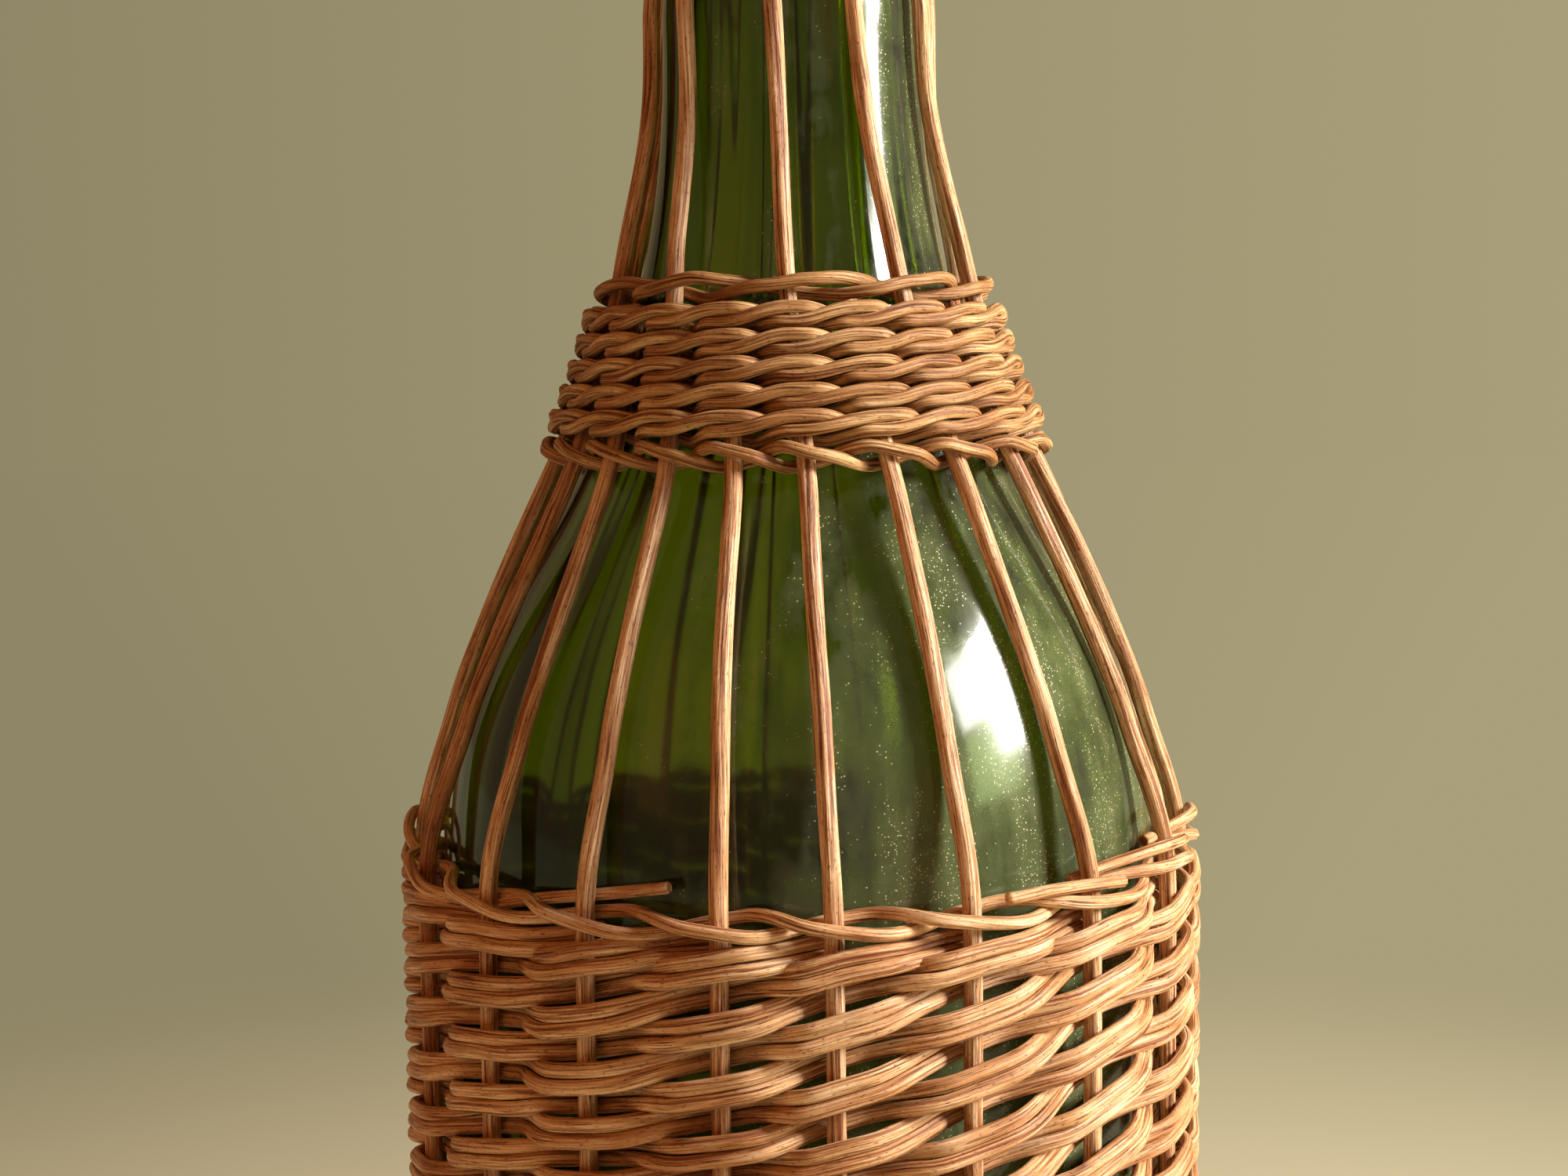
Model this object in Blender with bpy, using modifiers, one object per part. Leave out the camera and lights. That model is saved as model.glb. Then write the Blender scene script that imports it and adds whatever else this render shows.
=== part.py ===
"""A tall glass bottle in a woven cane cover, with a cork stopper.

Twenty upright canes, the stakes, stand round the glass. Pairs of thinner canes, the weavers,
climb round the body in front of one stake and behind the next. Ten of the stakes end in a
tight woven band on the shoulder, and the other ten run on up the neck to a small collar.
The glass stands on a woven base mat and is closed by a tapered cork that pulls straight out.

Lengths are in metres. The frame's origin is the centre of the mat's underside, +Z is up and
-Y is the front.
"""
import math

import bmesh
import bpy
import numpy as np
from mathutils import Vector

# The gap that is left between pieces that touch on the real bottle.
CLEARANCE = 0.0003

# Points of a turned outline this close together on the axis are one point.
WELD_DISTANCE = 0.00001

# The glass.
BODY_DIAMETER = 0.123
BODY_HEIGHT = 0.1534
SHOULDER_HEIGHT = 0.148
SHOULDER_ROUND_SHARE = 0.43
SHOULDER_HOLLOW_SHARE = 0.61
NECK_DIAMETER = 0.0438
NECK_HEIGHT = 0.065
NECK_TOP_DIAMETER = 0.033
LIP_DIAMETER = 0.037
LIP_HEIGHT = 0.012
LIP_ROUNDING = 0.0025
BORE_DIAMETER = 0.022
GLASS_WALL = 0.003
HEEL_RADIUS = 0.009
PUNT_HEIGHT = 0.016
PUNT_DIAMETER = 0.088
GLASS_SEGMENTS = 32
SHOULDER_STATIONS = 10

# The cork.
CORK_DEPTH = 0.022
CORK_HEAD = 0.012
CORK_TAPER = 0.0016
CORK_CHAMFER = 0.0008
CORK_SEGMENTS = 24

# The canes.
STAKE_COUNT = 20
STAKE_DIAMETER = 0.003
FIRST_STAKE_TURN = math.radians(5.4)
WEAVER_DIAMETER = 0.002
WALE_ROD_DIAMETER = 0.00215
WEAVE_SLACK = 0.0002
STAKE_TAIL = 0.003
SHOULDER_POINTS = 8
BAND_POINTS = 4
NECK_POINTS = 5

# The rows of weaving. The slewing covers the body and climbs this far onto the shoulder. The
# band's foot is measured up from where the shoulder starts, and the collar's top down from
# the lip.
UPSETT_ROWS = 3
SLEWING_CLIMB = 0.0045
BAND_ROWS = 7
BAND_LIFT = 0.0735
BAND_LEAN = math.radians(7.5)
COLLAR_ROWS = 3
COLLAR_DROP = 0.006
NECK_LEAN = math.radians(15.0)

# Over these lengths the stakes ease from the weaving towards the glass: above the rim, below
# the band, and above the band and below the collar.
RIM_EASE = 0.022
SHOULDER_EASE = 0.035
NECK_EASE = 0.032

# The stakes aren't spaced evenly. For each stake, in order: how many degrees it stands to the
# right of its even place at the rim, at the band's foot, at the band's top, and from the foot
# of the neck upwards. The narrowest gap between two stakes is this share of an even one.
STAKE_SHIFTS = (
    (-1, -0.5, 2, 7, 6.5, 5, 3.5, 2, 0.5, -1, 1, -0.5, -2, -1.5, -2, -3, -3.5, 0.5, 1, 2),
    (-3, -2, -3, 0.5, 2, 3, 2, 0.5, -1, 0.5, 1, -1, -1.5, 0, 1.5, 4, 5.5, 3, 1.5, -0.5),
    (-0.5, -0.5, -0.5, 2, 4.5, 3.5, 2.5, 1, 0, -1, -1.5, 0, 1, 1, 0.5, 0.5, 0.5, -0.5, -1.5, -1),
    (1, -1, -3, -2, -0.5, 1, 2, 1.5, 1, 0, -1, -0.5, 0, 1, 1.5, 1.5, 1.5, -0.5, -2, -0.5),
)
NARROW_SHARE = 0.8

# How far the tails of the weavers reach past their last stakes, and how finely the stakes'
# line is worked out.
TAIL_SHARE = 0.15
LINE_SAMPLES = 400

# The base mat.
BASE_STICK_DIAMETER = 0.003
BASE_STICK_COUNT = 5
BASE_STICK_LENGTH = 0.032
STICK_ARC_POINTS = 4
STICK_VALLEY_TURN = math.radians(30)
BASE_CROWN = 0.0012
BASE_FOOT_WIDTH = 0.012
BASE_ROUNDING = 0.0015
BASE_SEGMENTS = 32

# What follows from them.
BODY_RADIUS = BODY_DIAMETER / 2
NECK_RADIUS = NECK_DIAMETER / 2
STAKE_RADIUS = STAKE_DIAMETER / 2
STAKE_PITCH = 2 * math.pi / STAKE_COUNT
PAIR_HEIGHT = 2 * WEAVER_DIAMETER
LEVEL_PITCH = PAIR_HEIGHT + CLEARANCE
ROW_HEIGHT = 2 * WALE_ROD_DIAMETER
ROW_PITCH = ROW_HEIGHT + CLEARANCE
THICKEST_ROD = max(WEAVER_DIAMETER, WALE_ROD_DIAMETER)

BASE_THICKNESS = 2 * BASE_STICK_DIAMETER + CLEARANCE
GLASS_FOOT = BASE_THICKNESS + CLEARANCE
SHOULDER_FOOT = GLASS_FOOT + BODY_HEIGHT
NECK_FOOT = SHOULDER_FOOT + SHOULDER_HEIGHT
LIP_FOOT = NECK_FOOT + NECK_HEIGHT
MOUTH = LIP_FOOT + LIP_HEIGHT

BARE_STANDOFF = STAKE_RADIUS + CLEARANCE + WEAVE_SLACK
WOVEN_STANDOFF = STAKE_RADIUS + CLEARANCE + THICKEST_ROD + CLEARANCE
SLEWING_FOOT = CLEARANCE + UPSETT_ROWS * ROW_PITCH + PAIR_HEIGHT / 2
SLEWING_TURNS = int((SHOULDER_FOOT + SLEWING_CLIMB - SLEWING_FOOT) / (2 * LEVEL_PITCH))
SLEWING_LEVELS = 2 * SLEWING_TURNS
SLEWING_TOP = SLEWING_FOOT + SLEWING_LEVELS * LEVEL_PITCH
RIM_HEIGHT = SLEWING_TOP + PAIR_HEIGHT / 2 + CLEARANCE + ROW_HEIGHT / 2
RIM_TOP = RIM_HEIGHT + ROW_HEIGHT / 2
BAND_FOOT = SHOULDER_FOOT + BAND_LIFT
BAND_TOP = BAND_FOOT + BAND_ROWS * ROW_PITCH
COLLAR_TOP = LIP_FOOT - COLLAR_DROP
COLLAR_FOOT = COLLAR_TOP - COLLAR_ROWS * ROW_PITCH

GLASS_GREEN = (0.012, 0.075, 0.028)
CANE_TONES = ((0.60, 0.33, 0.12), (0.52, 0.26, 0.08), (0.66, 0.40, 0.17), (0.45, 0.21, 0.06))
CORK_TAN = (0.50, 0.31, 0.16)
GLASS_ROUGHNESS = 0.08
CANE_ROUGHNESS = 0.55
CORK_ROUGHNESS = 0.85


def clear_scene():
    """Remove every object, so that the script gives the same scene on each run."""
    for old in list(bpy.data.objects):
        bpy.data.objects.remove(old, do_unlink=True)


def make_collection(name):
    """A collection for the pieces, linked to the scene."""
    collection = bpy.data.collections.new(name)
    bpy.context.scene.collection.children.link(collection)
    return collection


def make_material(name, colour, roughness):
    """A Principled material with the piece's own colour and roughness."""
    material = bpy.data.materials.new(name)
    material.use_nodes = True
    shader = material.node_tree.nodes["Principled BSDF"]
    shader.inputs["Base Color"].default_value = (*colour, 1)
    shader.inputs["Roughness"].default_value = roughness
    shader.inputs["Metallic"].default_value = 0
    return material


def add_piece(name, data, colour, roughness, height=0):
    """Put a mesh or curve in the scene as a named piece with its material."""
    piece = bpy.data.objects.new(name, data)
    piece.location.z = height
    data.materials.append(make_material(name + "_finish", colour, roughness))
    PIECES.objects.link(piece)
    return piece


def cane_tone(index):
    """One of the cane's few natural tones, taken in turn."""
    return CANE_TONES[index % len(CANE_TONES)]


def blend_points(a, b, c, d, share):
    """A point on the cubic curve that starts at a, ends at d and is pulled by b and c."""
    rest = 1 - share
    return rest**3 * a + 3 * rest**2 * share * b + 3 * rest * share**2 * c + share**3 * d


def shoulder_curve(share):
    """Radius and height on the glass shoulder, from the body (0) to the neck (1)."""
    radius = blend_points(BODY_RADIUS, BODY_RADIUS, NECK_RADIUS, NECK_RADIUS, share)
    low_pull = SHOULDER_FOOT + SHOULDER_ROUND_SHARE * SHOULDER_HEIGHT
    high_pull = NECK_FOOT - SHOULDER_HOLLOW_SHARE * SHOULDER_HEIGHT
    height = blend_points(SHOULDER_FOOT, low_pull, high_pull, NECK_FOOT, share)
    return radius, height


def glass_outline(samples):
    """Radius and height of the glass from the floor line to the lip, as two arrays."""
    radius, height = shoulder_curve(np.linspace(0, 1, samples))
    radius = np.concatenate(([BODY_RADIUS], radius, [NECK_TOP_DIAMETER / 2]))
    height = np.concatenate(([0], height, [LIP_FOOT]))
    return radius, height


def eased(value, start, end):
    """0 before start, 1 after end, and a smooth step between them."""
    share = np.clip((value - start) / (end - start), 0, 1)
    return share * share * (3 - 2 * share)


def outward(radius, height):
    """Unit vectors square to an outline, pointing away from the axis."""
    run = np.gradient(radius)
    rise = np.gradient(height)
    length = np.hypot(run, rise)
    return rise / length, -run / length


def distance_along(radius, height):
    """Distance travelled along an outline, from its first point to each of the others."""
    return np.concatenate(([0], np.cumsum(np.hypot(np.diff(radius), np.diff(height)))))


def stake_line():
    """The line that every stake follows, as arrays of distance along it, radius and height.

    It stands off the glass by a weaver's thickness where there is weaving, and lies close to
    the glass where the stakes are bare.
    """
    radius, height = glass_outline(LINE_SAMPLES)
    travelled = distance_along(radius, height)
    even_steps = np.linspace(0, travelled[-1], 2 * LINE_SAMPLES)
    radius = np.interp(even_steps, travelled, radius)
    height = np.interp(even_steps, travelled, height)
    out_radius, out_height = outward(radius, height)
    below_rim = 1 - eased(height, RIM_TOP, RIM_TOP + RIM_EASE)
    in_band = eased(height, BAND_FOOT - SHOULDER_EASE, BAND_FOOT)
    in_band *= 1 - eased(height, BAND_TOP, BAND_TOP + NECK_EASE)
    in_collar = eased(height, COLLAR_FOOT - NECK_EASE, COLLAR_FOOT)
    woven = np.maximum(np.maximum(below_rim, in_band), in_collar)
    standoff = BARE_STANDOFF + (WOVEN_STANDOFF - BARE_STANDOFF) * woven
    radius = radius + standoff * out_radius
    height = height + standoff * out_height
    return distance_along(radius, height), radius, height


def along_at(height):
    """Distance up the stake line at a height."""
    along, _, heights = LINE
    return float(np.interp(height, heights, along))


def lean_at(along):
    """How far the stakes have turned round the axis: they lean to the left on the way up."""
    stations = (along_at(BAND_FOOT), along_at(BAND_TOP), along_at(LIP_FOOT))
    return -float(np.interp(along, stations, (0, BAND_LEAN, BAND_LEAN + NECK_LEAN)))


def shift_at(turn, along):
    """How far the cover here is shifted to the right, because the stakes aren't spaced evenly."""
    number = (turn - FIRST_STAKE_TURN) / STAKE_PITCH % STAKE_COUNT
    numbers = range(STAKE_COUNT + 1)
    shifts = [np.interp(number, numbers, (*row, row[0])) for row in STAKE_SHIFTS]
    stations = [along_at(height) for height in (RIM_TOP, BAND_FOOT, BAND_TOP, NECK_FOOT)]
    return math.radians(np.interp(along, stations, shifts))


def place(turn, along, out):
    """A point at an angle round the axis, a distance up the stake line and out from it."""
    distances, radii, heights = LINE
    radius = np.interp(along, distances, radii)
    height = np.interp(along, distances, heights)
    out_radius = np.interp(along, distances, LINE_OUT[0])
    out_height = np.interp(along, distances, LINE_OUT[1])
    reach = radius + out * out_radius
    angle = turn + lean_at(along) + shift_at(turn, along)
    return Vector((reach * math.sin(angle), -reach * math.cos(angle), height + out * out_height))


def stake_turn(index):
    """Angle of a stake round the axis, measured at the foot."""
    return FIRST_STAKE_TURN + index * STAKE_PITCH


def mesh_from_sections(name, sections, closed):
    """Skin a row of cross-sections that have the same number of points."""
    mesh = bpy.data.meshes.new(name)
    work = bmesh.new()
    rings = [[work.verts.new(point) for point in section] for section in sections]
    pairs = list(zip(rings, rings[1:]))
    if closed:
        pairs.append((rings[-1], rings[0]))
    for first, second in pairs:
        for index, corner in enumerate(first):
            following = (index + 1) % len(first)
            work.faces.new((corner, first[following], second[following], second[index]))
    if not closed:
        work.faces.new(reversed(rings[0]))
        work.faces.new(rings[-1])
    bmesh.ops.triangulate(work, faces=work.faces)
    bmesh.ops.recalc_face_normals(work, faces=work.faces)
    work.to_mesh(mesh)
    work.free()
    return mesh


def turned_piece(name, profile, segments, colour, roughness):
    """A profile of radius and height pairs, turned once round the axis by a Screw."""
    mesh = bpy.data.meshes.new(name)
    points = [(radius, 0, height) for radius, height in profile]
    edges = [(index, index + 1) for index in range(len(points) - 1)]
    mesh.from_pydata(points, edges, [])
    piece = add_piece(name, mesh, colour, roughness)
    screw = piece.modifiers.new("turn", "SCREW")
    screw.steps = segments
    screw.render_steps = segments
    screw.use_merge_vertices = True
    screw.merge_threshold = WELD_DISTANCE
    screw.use_smooth_shade = True
    return piece


def make_glass():
    """The bottle: one wall from the inside of the foot, over the lip and down the outside."""
    outer_radius, outer_height = shoulder_curve(np.linspace(1, 0, SHOULDER_STATIONS))
    out_radius, out_height = outward(outer_radius[::-1], outer_height[::-1])
    inner_radius = outer_radius[::-1] - GLASS_WALL * out_radius
    inner_height = outer_height[::-1] - GLASS_WALL * out_height
    bore = BORE_DIAMETER / 2
    punt = PUNT_DIAMETER / 2
    heel = BODY_RADIUS - HEEL_RADIUS
    inner_heel = HEEL_RADIUS - GLASS_WALL
    slope_share = math.sqrt(0.5)

    inside = [
        (0, GLASS_FOOT + PUNT_HEIGHT + GLASS_WALL),
        (punt * slope_share, GLASS_FOOT + PUNT_HEIGHT / 2 + GLASS_WALL),
        (punt, GLASS_FOOT + GLASS_WALL),
        (heel, GLASS_FOOT + GLASS_WALL),
        (heel + inner_heel * slope_share, GLASS_FOOT + HEEL_RADIUS - inner_heel * slope_share),
        (heel + inner_heel, GLASS_FOOT + HEEL_RADIUS),
    ]
    inside += list(zip(inner_radius, inner_height))
    inside += [(bore, MOUTH - CORK_DEPTH - LIP_HEIGHT), (bore, MOUTH - LIP_ROUNDING / 2)]
    lip = LIP_DIAMETER / 2
    rim = [
        (bore + LIP_ROUNDING / 2, MOUTH),
        (lip - LIP_ROUNDING, MOUTH),
        (lip, MOUTH - LIP_ROUNDING),
        (lip, LIP_FOOT + LIP_ROUNDING),
        (lip - LIP_ROUNDING, LIP_FOOT),
        (NECK_TOP_DIAMETER / 2, LIP_FOOT),
    ]
    outside = list(zip(outer_radius, outer_height))
    outside += [
        (BODY_RADIUS, GLASS_FOOT + HEEL_RADIUS),
        (heel + HEEL_RADIUS * slope_share, GLASS_FOOT + HEEL_RADIUS - HEEL_RADIUS * slope_share),
        (heel, GLASS_FOOT),
        (punt, GLASS_FOOT),
        (punt * slope_share, GLASS_FOOT + PUNT_HEIGHT / 2),
        (0, GLASS_FOOT + PUNT_HEIGHT),
    ]
    turned_piece("glass_bottle", inside + rim + outside, GLASS_SEGMENTS, GLASS_GREEN, GLASS_ROUGHNESS)


def make_cork():
    """A tapered cork. Its origin is on the bore's axis, level with the mouth."""
    mesh = bpy.data.meshes.new("cork_stopper")
    work = bmesh.new()
    length = CORK_DEPTH + CORK_HEAD
    at_mouth = BORE_DIAMETER / 2 - CLEARANCE
    slope_share = CORK_TAPER / length
    bmesh.ops.create_cone(
        work,
        cap_ends=True,
        segments=CORK_SEGMENTS,
        radius1=at_mouth - CORK_DEPTH * slope_share,
        radius2=at_mouth + CORK_HEAD * slope_share,
        depth=length,
    )
    bmesh.ops.translate(work, verts=work.verts, vec=(0, 0, CORK_HEAD - length / 2))
    work.to_mesh(mesh)
    work.free()
    piece = add_piece("cork_stopper", mesh, CORK_TAN, CORK_ROUGHNESS, MOUTH)
    chamfer = piece.modifiers.new("chamfer", "BEVEL")
    chamfer.width = CORK_CHAMFER
    chamfer.segments = 1
    chamfer.limit_method = "ANGLE"
    chamfer.angle_limit = math.radians(60)
    mesh.shade_smooth()


def stake_stations(top):
    """Distances along the stake line at which a stake has a point, from foot to top."""
    rim = along_at(RIM_TOP)
    band_foot = along_at(BAND_FOOT)
    band_top = band_foot + BAND_ROWS * ROW_PITCH
    collar_foot = along_at(COLLAR_FOOT)
    stations = [along_at(CLEARANCE), rim - ROW_HEIGHT]
    stations += list(np.linspace(rim, band_foot, SHOULDER_POINTS))
    stations += list(np.linspace(band_foot, band_top, BAND_POINTS)[1:])
    stations += list(np.linspace(band_top, collar_foot, NECK_POINTS)[1:])
    return [station for station in stations if station < top] + [top]


def make_stake(index):
    """One upright cane. Every second one is long and runs on up the neck."""
    is_long = index % 2 == 0
    if is_long:
        top = along_at(COLLAR_FOOT) + COLLAR_ROWS * ROW_PITCH + STAKE_TAIL
    else:
        top = along_at(BAND_FOOT) + (BAND_ROWS - 1) * ROW_PITCH - 2 * CLEARANCE
    points = [place(stake_turn(index), station, 0) for station in stake_stations(top)]
    name = f"{'long' if is_long else 'short'}_stake_{index // 2 + 1:02d}"
    curve = bpy.data.curves.new(name, "CURVE")
    curve.dimensions = "3D"
    curve.bevel_depth = STAKE_RADIUS
    curve.bevel_resolution = 1
    curve.use_fill_caps = True
    spline = curve.splines.new("POLY")
    spline.points.add(len(points) - 1)
    for target, point in zip(spline.points, points):
        target.co = (*point, 1)
    spline.use_smooth = True
    add_piece(name, curve, cane_tone(index), CANE_ROUGHNESS)


def pair_section(turn, along, out):
    """Cross-section of two weavers lying one on the other."""
    half_height = PAIR_HEIGHT / 2
    half_width = WEAVER_DIAMETER / 2
    return [
        place(turn, along - half_height, out - half_width),
        place(turn, along - half_height, out + half_width),
        place(turn, along + half_height, out + half_width),
        place(turn, along + half_height, out - half_width),
    ]


def make_weaver_pair(index):
    """A pair of weavers. It starts behind its own stake and climbs one level at each stake."""
    behind = -(WOVEN_STANDOFF - CLEARANCE - WEAVER_DIAMETER / 2)
    in_front = STAKE_RADIUS + CLEARANCE + WEAVE_SLACK + WEAVER_DIAMETER / 2
    start = along_at(SLEWING_FOOT)
    end = start + SLEWING_LEVELS * LEVEL_PITCH
    tail = TAIL_SHARE * STAKE_PITCH
    first_turn = stake_turn(index)
    sections = [pair_section(first_turn - tail, start, behind)]
    for level in range(SLEWING_LEVELS + 1):
        out = behind if level % 2 == 0 else in_front
        sections.append(pair_section(first_turn + level * STAKE_PITCH, start + level * LEVEL_PITCH, out))
    last_turn = first_turn + SLEWING_LEVELS * STAKE_PITCH
    sections.append(pair_section(last_turn + tail, end, out))
    name = f"weaver_pair_{index + 1:02d}"
    add_piece(name, mesh_from_sections(name, sections, False), cane_tone(index + 1), CANE_ROUGHNESS)


def window_reach(along, half_turn):
    """How far from the stake's centre line the rods of a row must pass to clear the stake."""
    arm = np.interp(along, LINE[0], LINE[1]) * math.sin(half_turn)
    need = STAKE_RADIUS + CLEARANCE
    return need * arm / math.sqrt(arm * arm - need * need)


def make_row(name, along, turns, tone_index):
    """A row of twined rods round some of the stakes.

    At each stake one strand passes in front and one behind, and the strands cross in each
    gap, so the row is a chain of lozenge windows with a stake in each.
    """
    gap_turn = math.pi / len(turns)
    cross_turn = WALE_ROD_DIAMETER / 2 / place(0, along, 0).xy.length
    window = window_reach(along, NARROW_SHARE * gap_turn - cross_turn)
    inner_tip = WOVEN_STANDOFF - CLEARANCE
    outer_tip = window + WALE_ROD_DIAMETER
    half_height = ROW_HEIGHT / 2
    work = bmesh.new()

    def corner(turn, rise, out):
        return work.verts.new(place(turn, along + rise, out))

    def edge(turn, out):
        return corner(turn, half_height, out), corner(turn, -half_height, out)

    def skin(first, second):
        for index in range(3):
            following = (index + 1) % 3
            work.faces.new((first[index], first[following], second[following]))
            work.faces.new((first[index], second[following], second[index]))

    for index, turn in enumerate(turns):
        gap = turn - gap_turn
        left = edge(gap - cross_turn, 0)
        right = edge(gap + cross_turn, 0)
        tips = corner(gap, 0, WALE_ROD_DIAMETER), corner(gap, 0, -WALE_ROD_DIAMETER)
        strands = (
            (*edge(turn, window), corner(turn, 0, outer_tip)),
            (*edge(turn, -window), corner(turn, 0, -inner_tip)),
        )
        for tip, strand in zip(tips, strands):
            skin((*right, tip), strand)
            work.faces.new((left[0], right[0], tip))
            work.faces.new((left[1], right[1], tip))
        if index == 0:
            first_left, first_tips = left, tips
        else:
            for tip, strand in zip(tips, last_strands):
                skin(strand, (*left, tip))
        last_strands = strands
    for tip, strand in zip(first_tips, last_strands):
        skin(strand, (*first_left, tip))
    bmesh.ops.recalc_face_normals(work, faces=work.faces)
    mesh = bpy.data.meshes.new(name)
    work.to_mesh(mesh)
    work.free()
    add_piece(name, mesh, cane_tone(tone_index), CANE_ROUGHNESS)


def make_rows():
    """The upsett at the foot, the rim over the slewing, the shoulder band and the collar."""
    every_turn = [stake_turn(index) for index in range(STAKE_COUNT)]
    long_turns = every_turn[::2]
    upsett = along_at(CLEARANCE) + ROW_HEIGHT / 2
    for row in range(UPSETT_ROWS):
        make_row(f"upsett_wale_{row + 1}", upsett + row * ROW_PITCH, every_turn, row)
    make_row("rim_pairing", along_at(RIM_HEIGHT), every_turn, 1)
    band = along_at(BAND_FOOT) + ROW_HEIGHT / 2
    for row in range(BAND_ROWS):
        is_top = row == BAND_ROWS - 1
        kind = "pairing" if row == 0 or is_top else "wale"
        turns = long_turns if is_top else every_turn
        make_row(f"band_{kind}_{row + 1}", band + row * ROW_PITCH, turns, row)
    collar = along_at(COLLAR_FOOT) + ROW_HEIGHT / 2
    for row in range(COLLAR_ROWS):
        make_row(f"collar_pairing_{row + 1}", collar + row * ROW_PITCH, long_turns, row + 2)


def make_base_weave():
    """The round mat of base weaving, crowned underneath so that it stands on its edge."""
    hole = BASE_STICK_LENGTH / 2
    half_bundle = BASE_STICK_COUNT * BASE_STICK_DIAMETER / 2
    inner = math.hypot(hole, half_bundle) + CLEARANCE
    outer = BODY_RADIUS
    foot = outer - BASE_ROUNDING
    profile = [
        (inner, BASE_CROWN),
        (inner, BASE_THICKNESS),
        (foot, BASE_THICKNESS),
        (outer, BASE_THICKNESS - BASE_ROUNDING),
        (outer, BASE_ROUNDING),
        (foot, 0),
        (foot - BASE_FOOT_WIDTH, 0),
        (foot - BASE_FOOT_WIDTH - BASE_ROUNDING, BASE_CROWN),
        (inner, BASE_CROWN),
    ]
    turned_piece("base_weave", profile, BASE_SEGMENTS, CANE_TONES[1], CANE_ROUGHNESS)


def make_base_sticks(name, foot, flat_foot, turn):
    """A bundle of base sticks lying side by side, one of the two that cross in the middle."""
    radius = BASE_STICK_DIAMETER / 2
    outline = []
    for stick in range(BASE_STICK_COUNT):
        centre = (2 * stick + 1 - BASE_STICK_COUNT) * radius
        for angle in np.linspace(math.pi - STICK_VALLEY_TURN, STICK_VALLEY_TURN, STICK_ARC_POINTS):
            outline.append((centre + radius * math.cos(angle), radius * math.sin(angle)))
    if flat_foot:
        outline += [(outline[-1][0], -radius), (outline[0][0], -radius)]
    else:
        outline += [(across, -rise) for across, rise in reversed(outline)]
    curve = bpy.data.curves.new(name, "CURVE")
    curve.dimensions = "2D"
    curve.fill_mode = "BOTH"
    curve.extrude = BASE_STICK_LENGTH / 2
    spline = curve.splines.new("POLY")
    spline.points.add(len(outline) - 1)
    for target, (across, rise) in zip(spline.points, outline):
        target.co = (across, rise, 0, 1)
    spline.use_cyclic_u = True
    piece = add_piece(name, curve, CANE_TONES[0], CANE_ROUGHNESS, foot + radius)
    piece.rotation_euler = (math.pi / 2, 0, turn)


def make_base():
    """The base mat: two crossed bundles of sticks and the round weaving about them."""
    make_base_weave()
    make_base_sticks("base_sticks_lower", 0, True, 0)
    make_base_sticks("base_sticks_upper", BASE_STICK_DIAMETER + CLEARANCE, False, math.pi / 2)


clear_scene()
PIECES = make_collection("wicker_bottle")
LINE = stake_line()
LINE_OUT = outward(LINE[1], LINE[2])
make_glass()
make_cork()
make_base()
for number in range(STAKE_COUNT):
    make_stake(number)
for number in range(STAKE_COUNT):
    make_weaver_pair(number)
make_rows()
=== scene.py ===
# %% [markdown]
# # A wicker-covered bottle
#
# The object is a tall green glass bottle in a cover of woven centre cane, the peeled core of
# the rattan palm. Upright canes, the stakes, stand round the glass. Thinner canes, the
# weavers, climb round the body two by two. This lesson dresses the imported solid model: each
# plain ribbon or chain there is replaced by the single canes that it stands for.
#
# Every length below is in metres, in the same frame as the solids: the origin is under the
# middle of the base, +Z is up and -Y is the front.

# %% Load the solids and keep their box
import math

import bpy
import numpy as np
from mathutils import Euler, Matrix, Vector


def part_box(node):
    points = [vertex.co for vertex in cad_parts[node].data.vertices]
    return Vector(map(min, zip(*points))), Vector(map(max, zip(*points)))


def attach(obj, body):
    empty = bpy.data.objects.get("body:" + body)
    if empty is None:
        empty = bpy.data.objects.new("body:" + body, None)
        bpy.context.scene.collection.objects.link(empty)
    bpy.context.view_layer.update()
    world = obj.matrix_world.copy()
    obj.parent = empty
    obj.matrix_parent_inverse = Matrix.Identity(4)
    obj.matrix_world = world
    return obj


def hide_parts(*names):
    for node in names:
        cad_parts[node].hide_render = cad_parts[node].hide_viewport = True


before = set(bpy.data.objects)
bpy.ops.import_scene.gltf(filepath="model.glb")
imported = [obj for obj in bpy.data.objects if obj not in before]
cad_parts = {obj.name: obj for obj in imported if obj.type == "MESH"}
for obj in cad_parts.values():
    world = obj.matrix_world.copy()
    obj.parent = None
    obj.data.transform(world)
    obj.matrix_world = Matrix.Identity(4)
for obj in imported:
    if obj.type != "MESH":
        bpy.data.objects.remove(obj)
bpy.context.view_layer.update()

# %% [markdown]
# ## The sizes that the cover follows
#
# The glass and the canes are the driving sizes. They are the values that the solid model was
# built from, so every cane lies where its solid lies, apart from small shifts of the rows that
# are named further down.

# %% Driving sizes
CLEARANCE = 0.0003
BODY_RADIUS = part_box("glass_bottle")[1].x
GLASS_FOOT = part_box("glass_bottle")[0].z
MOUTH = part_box("glass_bottle")[1].z
BODY_HEIGHT = 0.1534
SHOULDER_HEIGHT = 0.148
SHOULDER_ROUND_SHARE = 0.43
SHOULDER_HOLLOW_SHARE = 0.61
NECK_RADIUS = 0.0219
NECK_TOP_RADIUS = 0.0165
LIP_HEIGHT = 0.012
STAKE_COUNT = 20
STAKE_RADIUS = 0.0015
WEAVER_RADIUS = 0.001
WALE_RADIUS = 0.001075
WEAVE_SLACK = 0.0002
FIRST_STAKE_TURN = math.radians(5.4)
BAND_LEAN = math.radians(7.5)
NECK_LEAN = math.radians(15.0)
RIM_EASE = 0.022
SHOULDER_EASE = 0.035
NECK_EASE = 0.032
UPSETT_ROWS = 3
BAND_ROWS = 7
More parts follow.
